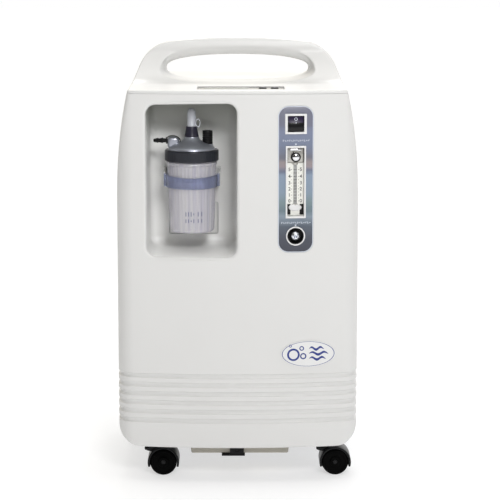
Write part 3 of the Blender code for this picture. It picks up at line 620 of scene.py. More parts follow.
def skin_row(stops, height, inset):
    """Points of the cabinet's skin at one height, from the plan held inside the front outline."""
    limit = side_x(height)
    blend = max(min(9, 0.8 * (HALF_WIDTH - limit)), 1e-6)
    limit -= inset
    right = []
    for centre_x, centre_y, radius, angle in stops:
        across = centre_x + (radius - inset) * math.cos(angle)
        along = centre_y + (radius - inset) * math.sin(angle)
        share = max(0.0, min(1.0, 0.5 + 0.5 * (limit - across) / blend))
        across = across * share + limit * (1 - share) - blend * share * (1 - share)
        right.append(Vector((max(across, 0.0), along, height)))
    return right


def both_sides(right, middle_first):
    left = [Vector((-p.x, p.y, p.z)) for p in right]
    return left[:0:-1] + right if middle_first else right + left[-2::-1]


def groove_inset(height):
    """How far the ribbed band is cut in at a height."""
    for middle in GROOVES:
        away = abs(height - middle) / GROOVE_HALF
        if away < 1:
            return GROOVE_DEPTH * (1 - away**3)
    return 0.0


def edge_inset(distance, radius):
    """How far a rounded edge is in, at a distance from it."""
    if distance >= radius:
        return 0.0
    return radius - math.sqrt(radius**2 - (radius - distance) ** 2)


def cover_rows(top, ribbed):
    rows = [BOTTOM + FOOT_CORNER * (1 - math.cos(math.pi / 2 * k / 16)) for k in range(17)]
    if ribbed:
        shares = (0.3, 0.65, 0.85, 0.95, 1, 1.15)
        for middle in GROOVES:
            rows += [middle + share * GROOVE_HALF for share in [-share for share in shares[::-1]] + list(shares)]
    level = rows[-1]
    rows += [level + (SHOULDER - level) * k / 12 for k in range(1, 13)]
    rows += [SHOULDER + (top - 0.6 - SHOULDER) * k / 26 for k in range(1, 27)]
    return rows + [top - 0.3, top]


def cover_skin(name, stops, middle_first, ribbed):
    rings = []
    for height in cover_rows(COVER_TOP, ribbed):
        inset = edge_inset(height - BOTTOM, 3.5) + edge_inset(COVER_TOP - height, 0.25)
        if ribbed:
            inset += groove_inset(height)
        rings.append(both_sides(skin_row(stops, height, inset), middle_first))
    obj = stack(name, rings, closed=False)
    return modify(obj, "SOLIDIFY", thickness=WALL * MM, offset=-1.0, use_even_offset=False)


LABEL_X = 86.8
ON_LABEL = at(LABEL_X, face_y(LABEL_X), 0) @ Matrix.Rotation(math.asin(LABEL_X / FACE_RADIUS), 4, "Z")
LABEL_WIDE = 53
LABEL_TALL = label_high.z - label_low.z
LABEL_MIDDLE = (0, (label_high.z + label_low.z) / 2)
LABEL_CORNER = 16
SWITCH_Z = 550.4
KNOB_Z = 500.7
PORT_Z = 381.8

BAY_LEFT, BAY_RIGHT = -137, -1
BAY_LOW, BAY_HIGH = 350, 580.6
BAY_BACK = -75
BAY_MIDDLE = ((BAY_LEFT + BAY_RIGHT) / 2, (BAY_LOW + BAY_HIGH) / 2)


def bay_ring(grow, depth=None, y=None):
    """The bay's outline, its top edge falling a little to the left, at a depth behind the face."""
    wide, tall = BAY_RIGHT - BAY_LEFT, BAY_HIGH - BAY_LOW
    found = []
    for x, z in round_rectangle(wide + 2 * grow, tall + 2 * grow, 15 + grow, BAY_MIDDLE, 10):
        fall = 2.5 * (BAY_RIGHT - x) / wide * (z - BAY_LOW) / tall
        found.append(Vector((x, face_y(x) + depth if y is None else y, z - fall)))
    return found


def bay_space():
    """What the bay takes out of the cover: a rounded rim, straight walls and a rounded back."""
    rim, fillet = 4.5, 12
    rings = [bay_ring(rim + 1, -12), bay_ring(rim + 0.2, -0.3)]
    for step in range(7):
        depth = rim * (1 - math.cos(math.pi / 2 * step / 6))
        rings.append(bay_ring(edge_inset(depth, rim), depth))
    rings.append(bay_ring(-1, y=BAY_BACK - fillet - 60))
    for step in range(9):
        turn = math.pi / 2 * step / 8
        rings.append(bay_ring(-2 - fillet * (1 - math.cos(turn)), y=BAY_BACK - fillet * (1 - math.sin(turn))))
    return stack("bay_space", rings)


def label_pocket():
    rings = []
    for grow, depth in ((1.2, -30), (1.2, -0.6), (1.0, -0.05), (0.6, 0.25), (0.35, 0.6), (0.3, 1.3)):
        size = (LABEL_WIDE + 2 * grow, LABEL_TALL + 2 * grow, LABEL_CORNER + grow)
        outline = round_rectangle(*size, LABEL_MIDDLE, 10)
        rings.append([ON_LABEL @ (Vector((x, depth, z)) * MM) / MM for x, z in outline])
    return stack("label_pocket", rings)


def make_front_cover():
    cover = cover_skin("front_shell", front_stops(), True, True)
    unite(cover, stack("bay_liner", [bay_ring(3, 1.5), bay_ring(3, y=BAY_BACK + 3)]))
    space = bay_space()
    door = block("door_hole", (-106.2, BAY_BACK - 12, 367.8), (-29.8, BAY_BACK + 12, 418.2), width=3)
    slot = block("device_slot", (-15.4, -10, 366), (15.4, 30, 567), ON_LABEL, 6)
    carve(cover, space, door, label_pocket(), slot)
    fit(cover, "shell", "cabinet", "front_cover", angle=32)
    # The bay's faces take the lining finish with its painted light and painted shade.
    cover.data.materials.append(FINISH["recess"])
    for face in cover.data.polygons:
        x, y, z = face.center / MM
        in_bay = BAY_LEFT - 1 < x < BAY_RIGHT + 1 and BAY_LOW - 1 < z < BAY_HIGH + 1
        if in_bay and face_y(x) + 4.4 < y < BAY_BACK + 1:
            face.material_index = 1


def make_rear_cover():
    cover = cover_skin("rear_shell", back_stops(), False, False)
    holes = [
        block("grille_hole", (-60.6, 170, 299.4), (60.6, 220, 420.6), width=4),
        block("inlet_hole", (-114.6, 170, 106.4), (-65.4, 220, 134.6), width=2),
        lathe("breaker_hole", [(4.3, -30), (4.3, 30)], 32, lying(-40, 190, 120.5, "+Y")),
    ]
    for number in range(7):
        holes.append(slab(f"vent_{number}", round_rectangle(90, 4, 1.95, (85, 102 + 10 * number), 5), 170, 220))
    fit(carve(cover, *holes), "shell", "cabinet", "rear_cover", angle=32)


def loop_outline():
    """The carry loop's outer outline: leaning sides, wide round corners and a crowned top."""
    crown = LOOP_TOP - FACE_RADIUS
    first, radius, corner_z = 98, 60, 657.4
    foot = Vector((side_x(DECK), DECK - 2))
    corner = Vector((foot.x - 0.42 * (corner_z - foot.y), corner_z))
    along_side = (foot - corner).normalized()
    on_crown = Vector((first, crown + math.sqrt(FACE_RADIUS**2 - first**2)))
    along_top = (on_crown - corner).normalized()
    half = along_side.angle(along_top) / 2
    middle = corner + (along_side + along_top).normalized() * (radius / math.sin(half))
    ends = [corner + along * (radius / math.tan(half)) - middle for along in (along_side, along_top)]
    right = [(150, 588), (foot.x - 1.5, 594), (foot.x, foot.y)]
    right += arc(middle, radius, *(math.degrees(math.atan2(end.y, end.x)) for end in ends), 16)
    right += [(first * k / 10, crown + math.sqrt(FACE_RADIUS**2 - (first * k / 10) ** 2)) for k in range(9, 0, -1)]
    return right + [(0, LOOP_TOP)] + [(-x, z) for x, z in reversed(right)]


def grip_ring(y):
    """The grip opening at a distance from the middle of the bar: it flares to both faces."""
    flare = min(max(abs(y) - 5, 0) / 10.5, 1)
    opening = 1 - math.sqrt(1 - flare**2 * 0.998)
    wider = 4.5 * opening + 0.30 * max(abs(y) - 15.5, 0)
    ring = []
    for step in range(72):
        turn = 2 * math.pi * step / 72
        cos, sin = math.cos(turn), math.sin(turn)
        x = (111 + wider) * math.copysign(abs(cos) ** 0.80, cos)
        up = (20.5 + 13.5 * opening + 0.8 * wider) if sin > 0 else 20.6
        z = 620.9 + up * math.copysign(abs(sin) ** 0.80, sin)
        if sin > 0:
            z -= x * x / 5500 * sin
        ring.append(Vector((x, y, z)))
    return ring


def make_top_cover():
    stops = front_stops() + back_stops()[1:]
    low, edge = deck_low.z, 2.4
    levels = [(low, 0.15), (low + 0.15, 0.0)]
    for step in range(8):
        turn = math.pi / 2 * step / 7
        levels.append((DECK - edge + edge * math.sin(turn), edge * (1 - math.cos(turn))))
    levels.append((DECK, edge + 1.5))
    rings = []
    for height, inset in levels:
        right = skin_row(stops, height, inset)
        rings.append(right + [Vector((-p.x, p.y, p.z)) for p in right[-2:0:-1]])
    deck = stack("deck", rings)

    loop = slab("loop", loop_outline(), -82, 82)
    front_reach, back_reach, face = 76, 62, 15.5
    shares = [step / 20 for step in range(21)]
    profile = [(-front_reach - 3, 590), (-front_reach - 3, 599.7)]
    profile += [(-front_reach + (front_reach - face) * share, 600 + 46 * share**2.7) for share in shares]
    profile += [(-14.6, 655), (-13.0, 663), (-9, 668.6), (0, 670), (9, 668.6), (13.0, 663), (14.6, 655)]
    profile += [(back_reach - (back_reach - face) * share, 600 + 46 * share**2.7) for share in shares[::-1]]
    profile += [(back_reach + 3, 599.7), (back_reach + 3, 590)]
    sweep = outward(slab("sweep", profile, -200, 200, Matrix.Rotation(math.pi / 2, 4, "Z")))
    depths = (5, 9, 12, 14, 15.5, 20, 35, 60, 95)
    grip = stack("grip", [grip_ring(y) for y in [-depth for depth in depths[::-1]] + [0] + list(depths)])
    carve(loop, sweep, operation="INTERSECT")
    carve(loop, grip)
    modify(loop, "REMESH", mode="VOXEL", voxel_size=1.35 * MM)
    modify(loop, "SMOOTH", factor=0.5, iterations=9)
    unite(deck, loop)
    carve(deck, block("display_pocket", (-60.5, -162.5, DECK - 3), (70.5, -112.5, 620), width=1.5))
    fit(deck, "shell", "cabinet", "top_cover", angle=32)


# ---------------------------------------------------------------- display and base


def make_display():
    keys = (("less", 38), ("more", 56))
    pane = block("display_pane", (-60, -162, DECK - 2.6), (70, -113, DECK - 0.7), width=1.2)
    for side, x in keys:
        carve(pane, block(f"key_well_{side}", (x - 6, -142.5, DECK - 4), (x + 6, -130.5, DECK + 1), width=1))
    fit(pane, "glass", "cabinet", "display_window")
    fit(block("display_screen", (-50, -153, DECK - 0.8), (16, -123, DECK - 0.55), width=0.1), "lcd", "cabinet")
    for side, x in keys:
        low, high = node_box(f"timer_key_{side}")
        key = block(f"key_{side}", low, high, width=0.9, segments=4)
        fit(key, "black", f"key_{side}", f"timer_key_{side}")
        under, over = high.z - 0.02, high.z + 0.06
        strokes = [block(f"key_{side}_bar", (x - 2.4, -136.9, under), (x + 2.4, -136.1, over))]
        if side == "more":
            strokes.append(block("key_more_stroke", (x - 0.4, -138.9, under), (x + 0.4, -134.1, over)))
        fit(merge(f"key_{side}_sign", *strokes), "mark", f"key_{side}", angle=None)


def make_base():
    low, high = node_box("duct_tray")
    tray = block("tray", low, high)
    for vertex in tray.data.vertices:
        if vertex.co.z < (low.z + high.z) / 2 * MM:
            vertex.co.x -= math.copysign(3 * MM, vertex.co.x)
    soften(tray, 2, 4)
    for number in range(7):
        x = low.x + 10 + number * (high.x - low.x - 20) / 6
        if abs(x) < 20:
            continue
        corners = (x - 0.6, low.y - 0.9, low.z + 3), (x + 0.6, low.y + 2, high.z - 2)
        unite(tray, block(f"tray_rib_{number}", *corners, width=0.3))
    fit(tray, "beige", "cabinet", "duct_tray")
    low, high = node_box("tray_clip")
    clip = block("clip", (-12.5, low.y, 31), (9.3, low.y + 4.2, high.z), width=0.8)
    unite(clip, block("clip_tongue", (-25, low.y, low.z), (11, high.y, 31.2), width=0.8))
    carve(clip, block("clip_notch", (-6, low.y - 1, 35), (3, low.y + 1.5, 42), width=0.6))
    fit(clip, "black", "cabinet", "tray_clip")
    low, high = node_box("bottom_pan")
    outline = [(-78, low.z), (78, low.z), (96, high.z), (-96, high.z)]
    fit(slab("pan", outline, low.y, high.y, width=2.5, segments=4), "pan", "cabinet", "bottom_pan")


# ---------------------------------------------------------------- label, switch, meter, port


def on_label(name, low, high, width=0.0, segments=3):
    """A block drawn in the label's own frame: X along it, Y into the cabinet, Z up."""
    return block(name, low, high, ON_LABEL, width, segments)



def label_holes():
    return (
        on_label("hole_switch", (-14.3, -9, 537.1), (14.3, 9, 563.7)),
        on_label("hole_meter", (-14.6, -9, 409.4), (14.6, 9, 517.0)),
        lathe("hole_port", [(13.5, -9), (13.5, 9)], 48, ON_LABEL @ lying(0, 0, PORT_Z, "+Y")),
    )


def make_label():
    outline = round_rectangle(LABEL_WIDE, LABEL_TALL, LABEL_CORNER, LABEL_MIDDLE, 12)
    edge = carve(slab("label_edge", outline, 0.45, 1.0, ON_LABEL), *label_holes())
    fit(edge, "mark", "cabinet", "control_label")
    outline = round_rectangle(LABEL_WIDE - 2.4, LABEL_TALL - 2.4, LABEL_CORNER - 1.2, LABEL_MIDDLE, 12)
    face = carve(slab("label_face", outline, 0.32, 0.6, ON_LABEL, 0.1), *label_holes())
    fit(face, "print", "cabinet", slot="label_print")

    marks = []
    for z, reach, count in ((525.5, 19, 13), (402.0, 21, 15)):
        for number in range(count):
            x = -reach + number * 2 * reach / (count - 1)
            half = (2.9, 1.7, 2.0, 2.9, 1.5)[number % 5] / 2
            foot = z + (0.9, -1.1, 0.0)[number % 3]
            marks.append(on_label(f"tick_{z}_{number}", (x - 0.42, 0.2, z - half), (x + 0.42, 0.34, z + half)))
            marks.append(on_label(f"dash_{z}_{number}", (x, 0.2, foot - 0.28), (x + 1.7, 0.34, foot + 0.28)))
    for z in (519.6, 397.8):
        outline = [(-1.7, z + 1.4), (0, z - 1.6), (1.7, z + 1.4)]
        marks.append(slab(f"pointer_{z}", outline, 0.2, 0.34, ON_LABEL))
    fit(merge("label_marks", *marks), "mark", "cabinet", angle=None)


def make_switch():
    bezel = on_label("bezel", (-16.3, -1.7, SWITCH_Z - 15.2), (16.3, 0.1, SWITCH_Z + 15.2), 0.9, 4)
    unite(bezel, on_label("bezel_body", (-13.8, -1, SWITCH_Z - 12.8), (13.8, 20, SWITCH_Z + 12.8)))
    carve(bezel, on_label("bezel_well", (-12.5, -5, SWITCH_Z - 12.1), (12.5, 13, SWITCH_Z + 12.1), 0.8))
    fit(bezel, "trim", "cabinet", "switch_bezel")

    # The rocker's side view about its pivot, as (depth, height). Its upper half is pressed in at rest.
    side_view = [(-6.2, 0), (-3.8, 11.3), (2.5, 9.8), (4.5, 0), (2.5, -9.8), (-3.8, -11.3)]
    pivot = ON_LABEL @ at(0, 4.2, SWITCH_Z) @ Matrix.Rotation(math.radians(-12), 4, "X")
    rocker = slab("rocker", side_view, -12.1, 12.1, pivot @ Matrix.Rotation(math.pi / 2, 4, "Z"), 0.6, 3)
    fit(outward(rocker), "gloss", "rocker", "switch_rocker")
    upper_half = pivot @ at(0, -5.0, 5.65) @ Matrix.Rotation(-math.atan2(2.4, 11.3), 4, "X")
    # Painted sheen: a lighter purple panel over the upper half stands in for the light that half catches from above.
    lens = block("rocker_sheen_panel", (-11.2, -0.25, -5.0), (11.2, 0.3, 5.0), upper_half, 0.2)
    fit(lens, "lamp", "rocker")
    ring_place = upper_half @ lying(0, 0.02, 0.4, "-Y")
    circle = lathe("rocker_ring", [(1.7, 0), (2.5, 0), (2.5, 0.35), (1.7, 0.35)], 32, ring_place, ring=True)
    bar = block("rocker_bar", (-0.5, -0.40, -5.9), (0.5, 0.2, -4.4), upper_half)
    fit(merge("rocker_signs", circle, bar), "mark", "rocker", angle=None)


TUBE = ON_LABEL @ at(0, 11.2, 0)
SCALE_HEIGHTS = (433.8, 442.7, 451.9, 460.9, 470.8, 481.2)


def tube_ring(name, inner, outer, low, high):
    return lathe(name, [(outer, low), (outer, high), (inner, high), (inner, low)], 40, TUBE, ring=True)


def make_scale():
    pieces = []
    middles = [(low + high) / 2 for low, high in zip(SCALE_HEIGHTS, SCALE_HEIGHTS[1:])]
    for number, z in enumerate(SCALE_HEIGHTS):
        for side in (-1, 1):
            place = ON_LABEL @ at(side * 8.6, 7.95, z)
            pieces.append(lettering(f"figure_{number}_{side}", str(number), 7.2, place))
    for heights, reach, half in ((SCALE_HEIGHTS, 6.1, 0.36), (middles, 5.6, 0.28)):
        for z in heights:
            for side in (-1, 1):
                near, far = sorted((side * 4.7, side * reach))
                pieces.append(on_label(f"mark_{z}_{side}", (near, 7.88, z - half), (far, 8.1, z + half)))
            pieces.append(tube_ring(f"rung_{z}", 3.58, 3.7, z - 0.42, z + 0.42))
    fit(merge("scale_figures", *pieces), "ink", "cabinet", angle=None)


def make_meter():
    border = on_label("meter_frame", (-15.2, -1.4, 408.8), (15.2, 0.1, 517.6), 0.7, 4)
    unite(border, on_label("meter_sleeve", (-14.1, -1, 409.9), (14.1, 29, 516.5)))
    carve(border, on_label("meter_well", (-12.8, -5, 411.6), (12.8, 27, 514.8), 1.2))
    fit(border, "trim", "cabinet", "flowmeter_frame")

    head = on_label("meter_head", (-12.6, 4, 492.2), (12.6, 26, 514.4), 1.6, 4)
    knob_place = ON_LABEL @ lying(0, 4, KNOB_Z, "-Y")
    carve(head, lathe("stem_hole", [(2.9, -11), (2.9, 20)], 24, knob_place))
    fit(head, "satin", "cabinet", "flowmeter_head")
    bar = on_label("meter_head_bar", (-8.4, 2.6, 509.4), (8.4, 5.0, 513.0), 1.2, 4)
    fit(bar, "chrome", "cabinet", slot="chrome")

    plate = on_label("scale_plate", (-12.6, 8.0, 411.9), (12.6, 22, 491.9), 0.5)
    carve(plate, lathe("tube_channel", [(4.1, 425.0), (4.1, 495.0)], 48, TUBE))
    fit(plate, "paper", "cabinet", "flowmeter_tube")
    fit(tube_ring("float_tube", 3.05, 3.6, 428.0, 490.5), "acrylic", "cabinet")
    profile = [(0, 426.6), (5.4, 426.6), (5.4, 429.6), (3.95, 429.6), (3.95, 428.0), (0, 428.0)]
    seat = lathe("tube_seat", profile, 32, TUBE, soft=0.3)
    plug = lathe("tube_head", [(0, 488.4), (5.0, 488.4), (5.4, 491.9), (0, 491.9)], 32, TUBE, soft=0.3)
    fit(merge("tube_ends", seat, plug), "satin", "cabinet", slot="chrome")
    make_scale()

    foot = lathe("meter_foot", [(0, -3.2), (9.6, -3.2), (10.2, 0), (9.2, 1.6), (0, 2.2)], 48, soft=0.8)
    put(foot, ON_LABEL @ lying(0, 7.6, 424, "-Y") @ Matrix.Diagonal((1, 0.52, 1, 1)))
    fit(foot, "trim", "cabinet")
    corners = [on_label(f"foot_corner_{x}", (x - 2.9, 7.5, 413.0), (x + 2.9, 9, 429.4), 1.0) for x in (-9.7, 9.7)]
    fit(merge("meter_foot_corners", *corners), "black", "cabinet")

    profile = [(0, -3.1), (1.7, -2.4), (2.7, -0.4), (2.7, 0.8), (1.8, 2.1), (0, 2.7)]
    bead = lathe("float_bead", profile, 32, ON_LABEL @ at(0, 12, SCALE_HEIGHTS[0]), soft=0.4)
    fit(bead, "gloss", "float", "flow_float", angle=60)

    profile = [(0, -8.5), (2.5, -8.5), (2.5, 0.4), (7.5, 0.4), (7.6, 4.6), (6.6, 5.6), (5.4, 5.6), (0, 5.6)]
    skirt = lathe("knob_skirt", profile, 60, knob_place, soft=0.5)
    for vertex in skirt.data.vertices:
        x, y, z = knob_place.inverted() @ vertex.co
        if math.hypot(x, y) > 7.2 * MM:
            shrink = 1 - 0.025 * (1 + math.cos(20 * math.atan2(y, x))) / 2
            vertex.co = knob_place @ Vector((x * shrink, y * shrink, z))
    fit(skirt, "gloss", "knob", "flow_knob", angle=50)
    profile = [(5.4, 5.3), (5.4, 6.0), (5.0, 6.9), (4.0, 7.5), (2.4, 7.85), (0, 7.9)]
    fit(lathe("knob_dome", profile, 40, knob_place), "chrome", "knob", angle=60, slot="chrome")


def make_port():
    place = ON_LABEL @ lying(0, 0, PORT_Z, "-Y")
    profile = [(13.1, -0.1), (14.4, -0.1), (14.4, 0.9), (12.6, 1.3), (12.4, 0.4), (12.4, -5), (13.1, -5)]
    fit(lathe("port_rim", profile, 64, place, ring=True, soft=0.3), "trim", "cabinet", "port_ring")
    profile = [(3.0, -12.4), (11.0, -12.4), (11.0, 0.2), (11.5, 0.7), (12.2, 0.4), (12.2, -14), (3.0, -14)]
    fit(lathe("port_well", profile, 64, place, ring=True, soft=0.4), "black", "cabinet", "port_cup")
    profile = [(0, -24), (2.6, -24), (2.6, -11.8), (5.2, -11.8), (7.4, -7), (7.4, -3.4), (6.2, -0.6)]
    profile += [(3.6, 1.5), (3.0, 2.0), (2.1, 1.4), (2.0, -4), (0, -4)]
    nozzle = lathe("nozzle", profile, 48, place, soft=0.8, steps=4)
    fit(nozzle, "pearl", "cabinet", "port_nozzle", angle=45)


def drape(obj):
    """Bends a flat piece onto the bulging front."""
    for vertex in obj.data.vertices:
        vertex.co.y += face_y(vertex.co.x / MM) * MM
    return obj


def make_badge():
    middle = at(106.7, 0, 201)
    flat = Matrix.Rotation(math.pi / 2, 4, "X")
    rings = [(41.5, 0.30), (41.5, 0.62), (41.1, 0.80)] + [(41.0 - 4.1 * k, 0.80) for k in range(1, 10)] + [(0, 0.80)]
    plate = lathe("badge_plate", rings, 72, middle @ flat @ Matrix.Diagonal((1, 0.494, 1, 1)))
    fit(drape(plate), "trim", "cabinet", "maker_badge")

    def raised(name, outer, inner, top, sides, place):
        profile = [(outer, 0.78), (outer, top), (inner, top), (inner, 0.78)]
        return lathe(name, profile, sides, middle @ place, ring=True)

    strokes = [raised("badge_line", 40.0, 38.9, 0.86, 72, flat @ Matrix.Diagonal((1, 0.480, 1, 1)))]
    bubbles = ((-22.5, -1.0, 9.6, 2.9), (-10.0, 8.6, 3.6, 1.5), (-7.6, -3.4, 4.8, 1.9), (-27.0, 12.6, 2.2, 0.9))
    for number, (x, z, radius, width) in enumerate(bubbles):
        strokes.append(raised(f"bubble_{number}", radius, radius - width, 0.87, 40, at(x, 0, z) @ flat))
    shares = [step / 40 for step in range(41)]
    for number, (z, reach) in enumerate(((8.2, 22), (0.6, 29), (-7.2, 25))):
        wave = []
        for share, edge in [(share, 1) for share in shares] + [(share, -1) for share in shares[::-1]]:
            thick = 2.0 * math.sin(math.pi * min(max(share, 0.02), 0.98)) ** 0.5
            wave.append((1.5 + reach * share, z + 1.9 * math.sin(share * math.pi * 3.2) + edge * thick))
        strokes.append(slab(f"wave_{number}", wave, -0.87, -0.78, middle))
    fit(drape(merge("badge_emblem", *strokes)), "navy", "cabinet", slot="badge_blue")


# ---------------------------------------------------------------- humidifier

jar_low, jar_high = node_box("humidifier_jar")
BOTTLE_X = (jar_low.x + jar_high.x) / 2
BOTTLE_Y = (jar_low.y + jar_high.y) / 2
BOTTLE = at(BOTTLE_X, BOTTLE_Y, 0)
VALVE = at(-45.4, BOTTLE_Y, 0)


def ripple(obj, count, low, high, depth, least):
    """Cuts upright flutes into a turned piece, between two heights and outside a radius."""
    for vertex in obj.data.vertices:
        x, y, z = vertex.co / MM
        x, y = x - BOTTLE_X, y - BOTTLE_Y
        radius = math.hypot(x, y)
        if low < z < high and radius > least:
            fade = min(1.0, (z - low) / 4, (high - z) / 4)
            shrink = 1 - depth * fade * (0.5 + 0.5 * math.cos(count * math.atan2(y, x))) / radius
            vertex.co = Vector((BOTTLE_X + x * shrink, BOTTLE_Y + y * shrink, z)) * MM
    return obj


def around(obj):
    """Wraps a flat piece round the bottle: its X becomes an arc length and its Y a distance from the axis."""
    for vertex in obj.data.vertices:
        arc_length, radius, z = vertex.co / MM
        turn = arc_length / 36 - math.pi / 2
        vertex.co = Vector((BOTTLE_X + radius * math.cos(turn), BOTTLE_Y + radius * math.sin(turn), z)) * MM
    return obj


def make_jar():
    heights = (388, 392, 400, 410, 420, 430, 440, 447, 455, 465, 475)
    outside = [(0, 380.7), (20, 380.7), (29, 380.9), (32.6, 382.2), (34.0, 385.0)]
    outside += [(34.3 + 2.9 * (z - 388) / 95.6, z) for z in (*heights, 482)]
    outside += [(37.3, 483.4), (38.5, 484.0), (38.5, 487.6), (38.1, 488), (35.2, 488), (35.0, 489.2)]
    inside = [(35.0, 499.6), (34.6, 500), (33.0, 500), (32.8, 488), (33.0, 485.6), (35.2, 481.4)]
    inside += [(32.9 + 2.3 * (z - 388) / 93, z) for z in heights[::-1]]
    inside += [(31.6, 385.0), (29.6, 383.6), (20, 383.2), (0, 383.2)]
    jar = ripple(lathe("jar", outside + inside, 192, BOTTLE), 40, 386, 484, 0.85, 33.6)
    fit(jar, "jar", "humidifier", "humidifier_jar", angle=50)

    marks = []
    for row, (z, tall) in enumerate(((411.6, 6.8), (401.2, 5.6))):
        for number, x in enumerate((-8.7, -4.6, -0.5, 3.6, 10.6, 16.4)):
            half = (tall if (number + row) % 4 < 3 else 0.45 * tall) / 2
            marks.append(block(f"level_{row}_{number}", (x - 0.65, 34.75, z - half), (x + 0.65, 35.05, z + half)))
    fit(around(merge("level_marks", *marks)), "level", "humidifier", angle=None)


def make_lid():
    profile = [(33.4, 503.3), (35.5, 503.3), (35.5, 489.7), (40.2, 489.7), (40.9, 490.8), (40.9, 504.8)]
    nut = lathe("knurled_nut", profile + [(40.2, 506), (33.4, 506)], 216, BOTTLE, ring=True, soft=0.5)
    fit(ripple(nut, 54, 490.4, 505.4, 0.9, 40.0), "nut", "nut", "ring_nut", angle=50)

    profile = [(0, 500.3), (34.8, 500.3), (34.8, 503), (33.1, 503), (33.1, 506.4), (35.6, 506.4), (35.4, 508.2)]
    profile += [(33.6, 510.4), (30.0, 512.9), (25.0, 515.4), (20.0, 517.3), (15.4, 519.4), (12.3, 522.0)]
    profile += [(10.3, 526.2), (9.3, 531), (8.6, 536), (8.0, 540.2), (7.4, 541), (0, 541)]
    dome = lathe("lid_dome", profile, 96, BOTTLE)
    profile = [(0, 507), (9.0, 507), (8.6, 513.2), (8.0, 514.6), (0, 514.6)]
    boss = lathe("valve_boss", profile, 48, VALVE, soft=0.6)
    elbow = block("elbow", (-106, -137.5, 507.5), (-88, -122.5, 526.2), width=5.6, segments=6)
    fit(unite(dome, boss, elbow), "dome", "humidifier", "humidifier_lid", angle=40)

    profile = [(10.6, 525.4), (10.9, 526.0), (9.7, 531), (9.0, 536), (8.4, 540.0), (7.9, 541.2), (6.0, 541.4)]
    profile += [(6.0, 540.8), (7.0, 540.4), (8.2, 534), (9.6, 525.6)]
    fit(lathe("outlet_neck", profile, 64, BOTTLE, ring=True), "stem", "humidifier", angle=40)
    profile = [(0, 540.6), (3.5, 540.6), (3.4, 545), (4.0, 546), (3.0, 551), (3.6, 552), (2.5, 559.6)]
    profile += [(1.4, 560), (1.3, 550), (0, 550)]
    fit(lathe("outlet_spout", profile, 40, BOTTLE), "cap", "humidifier", angle=40)
    profile = [(4.5, 541.2), (6.9, 541.2), (6.9, 542.8), (6.6, 543.2), (6.6, 560.5), (6.2, 563.6), (5.2, 566.4)]
    profile += [(3.4, 568.3), (0, 569), (0, 567.6), (2.8, 567.0), (4.4, 565.0), (5.2, 562.4), (5.4, 559.5)]
    cap = lathe("spout_cap", profile + [(5.4, 541.8)], 56, BOTTLE, ring=True)
    fit(cap, "cap", "humidifier", "outlet_cap", angle=45)
    bpy.ops.mesh.primitive_torus_add(
        major_radius=4.6 * MM, minor_radius=0.85 * MM, major_segments=40, minor_segments=12
    )
    eye_place = lying(BOTTLE_X + 9.6, BOTTLE_Y - 1, 546.2, "-Y") @ Matrix.Diagonal((0.72, 1.25, 1, 1))
    fit(fresh("cap_eye", eye_place), "cap", "humidifier", angle=60)

    ribs = [(0, 514.8), (7.6, 514.8)]
    for number in range(5):
        z = 516.0 + 3.5 * number
        ribs += [(7.9, z), (7.9, z + 1.9), (7.2, z + 2.3), (7.2, z + 3.1)]
    ribs += [(7.9, 533.4), (7.4, 534.8), (5.2, 535.0), (4.9, 534.0), (2.2, 534.0), (1.6, 535.0), (0, 535.0)]
    fit(lathe("valve_cap", ribs, 64, VALVE), "black", "humidifier", "relief_valve")

    barbs = [(0, 0), (5.2, 0), (5.2, 1.8), (3.1, 2.4), (3.1, 6.4), (4.3, 6.8), (3.0, 12.4), (3.0, 13.4)]
    barbs += [(3.9, 13.8), (2.5, 20.4), (1.9, 21.2), (1.2, 21.0), (1.1, 15), (0, 15)]
    nipple = lathe("barbed_nipple", barbs, 48, lying(-106.1, BOTTLE_Y, 519.8, "-X"), soft=0.25, steps=2)
    fit(nipple, "black", "humidifier", "inlet_nipple", angle=40)
    path = [(-107.5, -133.5, 522.5), (-105.0, -139.5, 526.2), (-98.5, -142.5, 528.3)]
    path += [(-90.5, -142.5, 526.2), (-86.2, -139.5, 520.5), (-86.8, -135.0, 516.5)]
    fit(strand("tether", path, 0.75), "black", "humidifier", angle=60)


def make_collar():
    """The tinted strap round the jar: it dips at the front and has a lug at each side."""
    turns = [2 * math.pi * step / 120 for step in range(120)]
    rings = []
    for radius, edge in ((37.2, -1), (39.0, -1), (39.35, -0.9), (39.35, 0.9), (39.0, 1), (37.2, 1)):
        ring = []
        for turn in turns:
            dip = 2.2 * max(0.0, -math.sin(turn)) ** 3
            low, high = 449.9 - 0.2 * dip, 468.2 - dip
            z = (low + high) / 2 + edge * (high - low) / 2
            ring.append(Vector((BOTTLE_X + radius * math.cos(turn), BOTTLE_Y + radius * math.sin(turn), z)))
        rings.append(ring)
    strap = outward(stack("strap", rings + rings[:1]))
    for side in (-1, 1):
        near, far = sorted((BOTTLE_X + side * 38.3, BOTTLE_X + side * 42.5))
        unite(strap, block(f"lug_{side}", (near, BOTTLE_Y - 6, 450.5), (far, BOTTLE_Y + 6, 469.5), width=1.3))
    fit(strap, "collar", "humidifier", "collar", angle=40)

    profile = [(0, 388), (3.6, 388), (5.8, 389.2), (6, 391), (6, 401), (5.6, 403), (2.5, 404.4), (2.5, 494)]
    profile += [(1.7, 494), (1.7, 402), (0, 402)]
    fit(lathe("dip_tube_fine", profile, 48, BOTTLE), "tube", "humidifier", "dip_tube", angle=40)


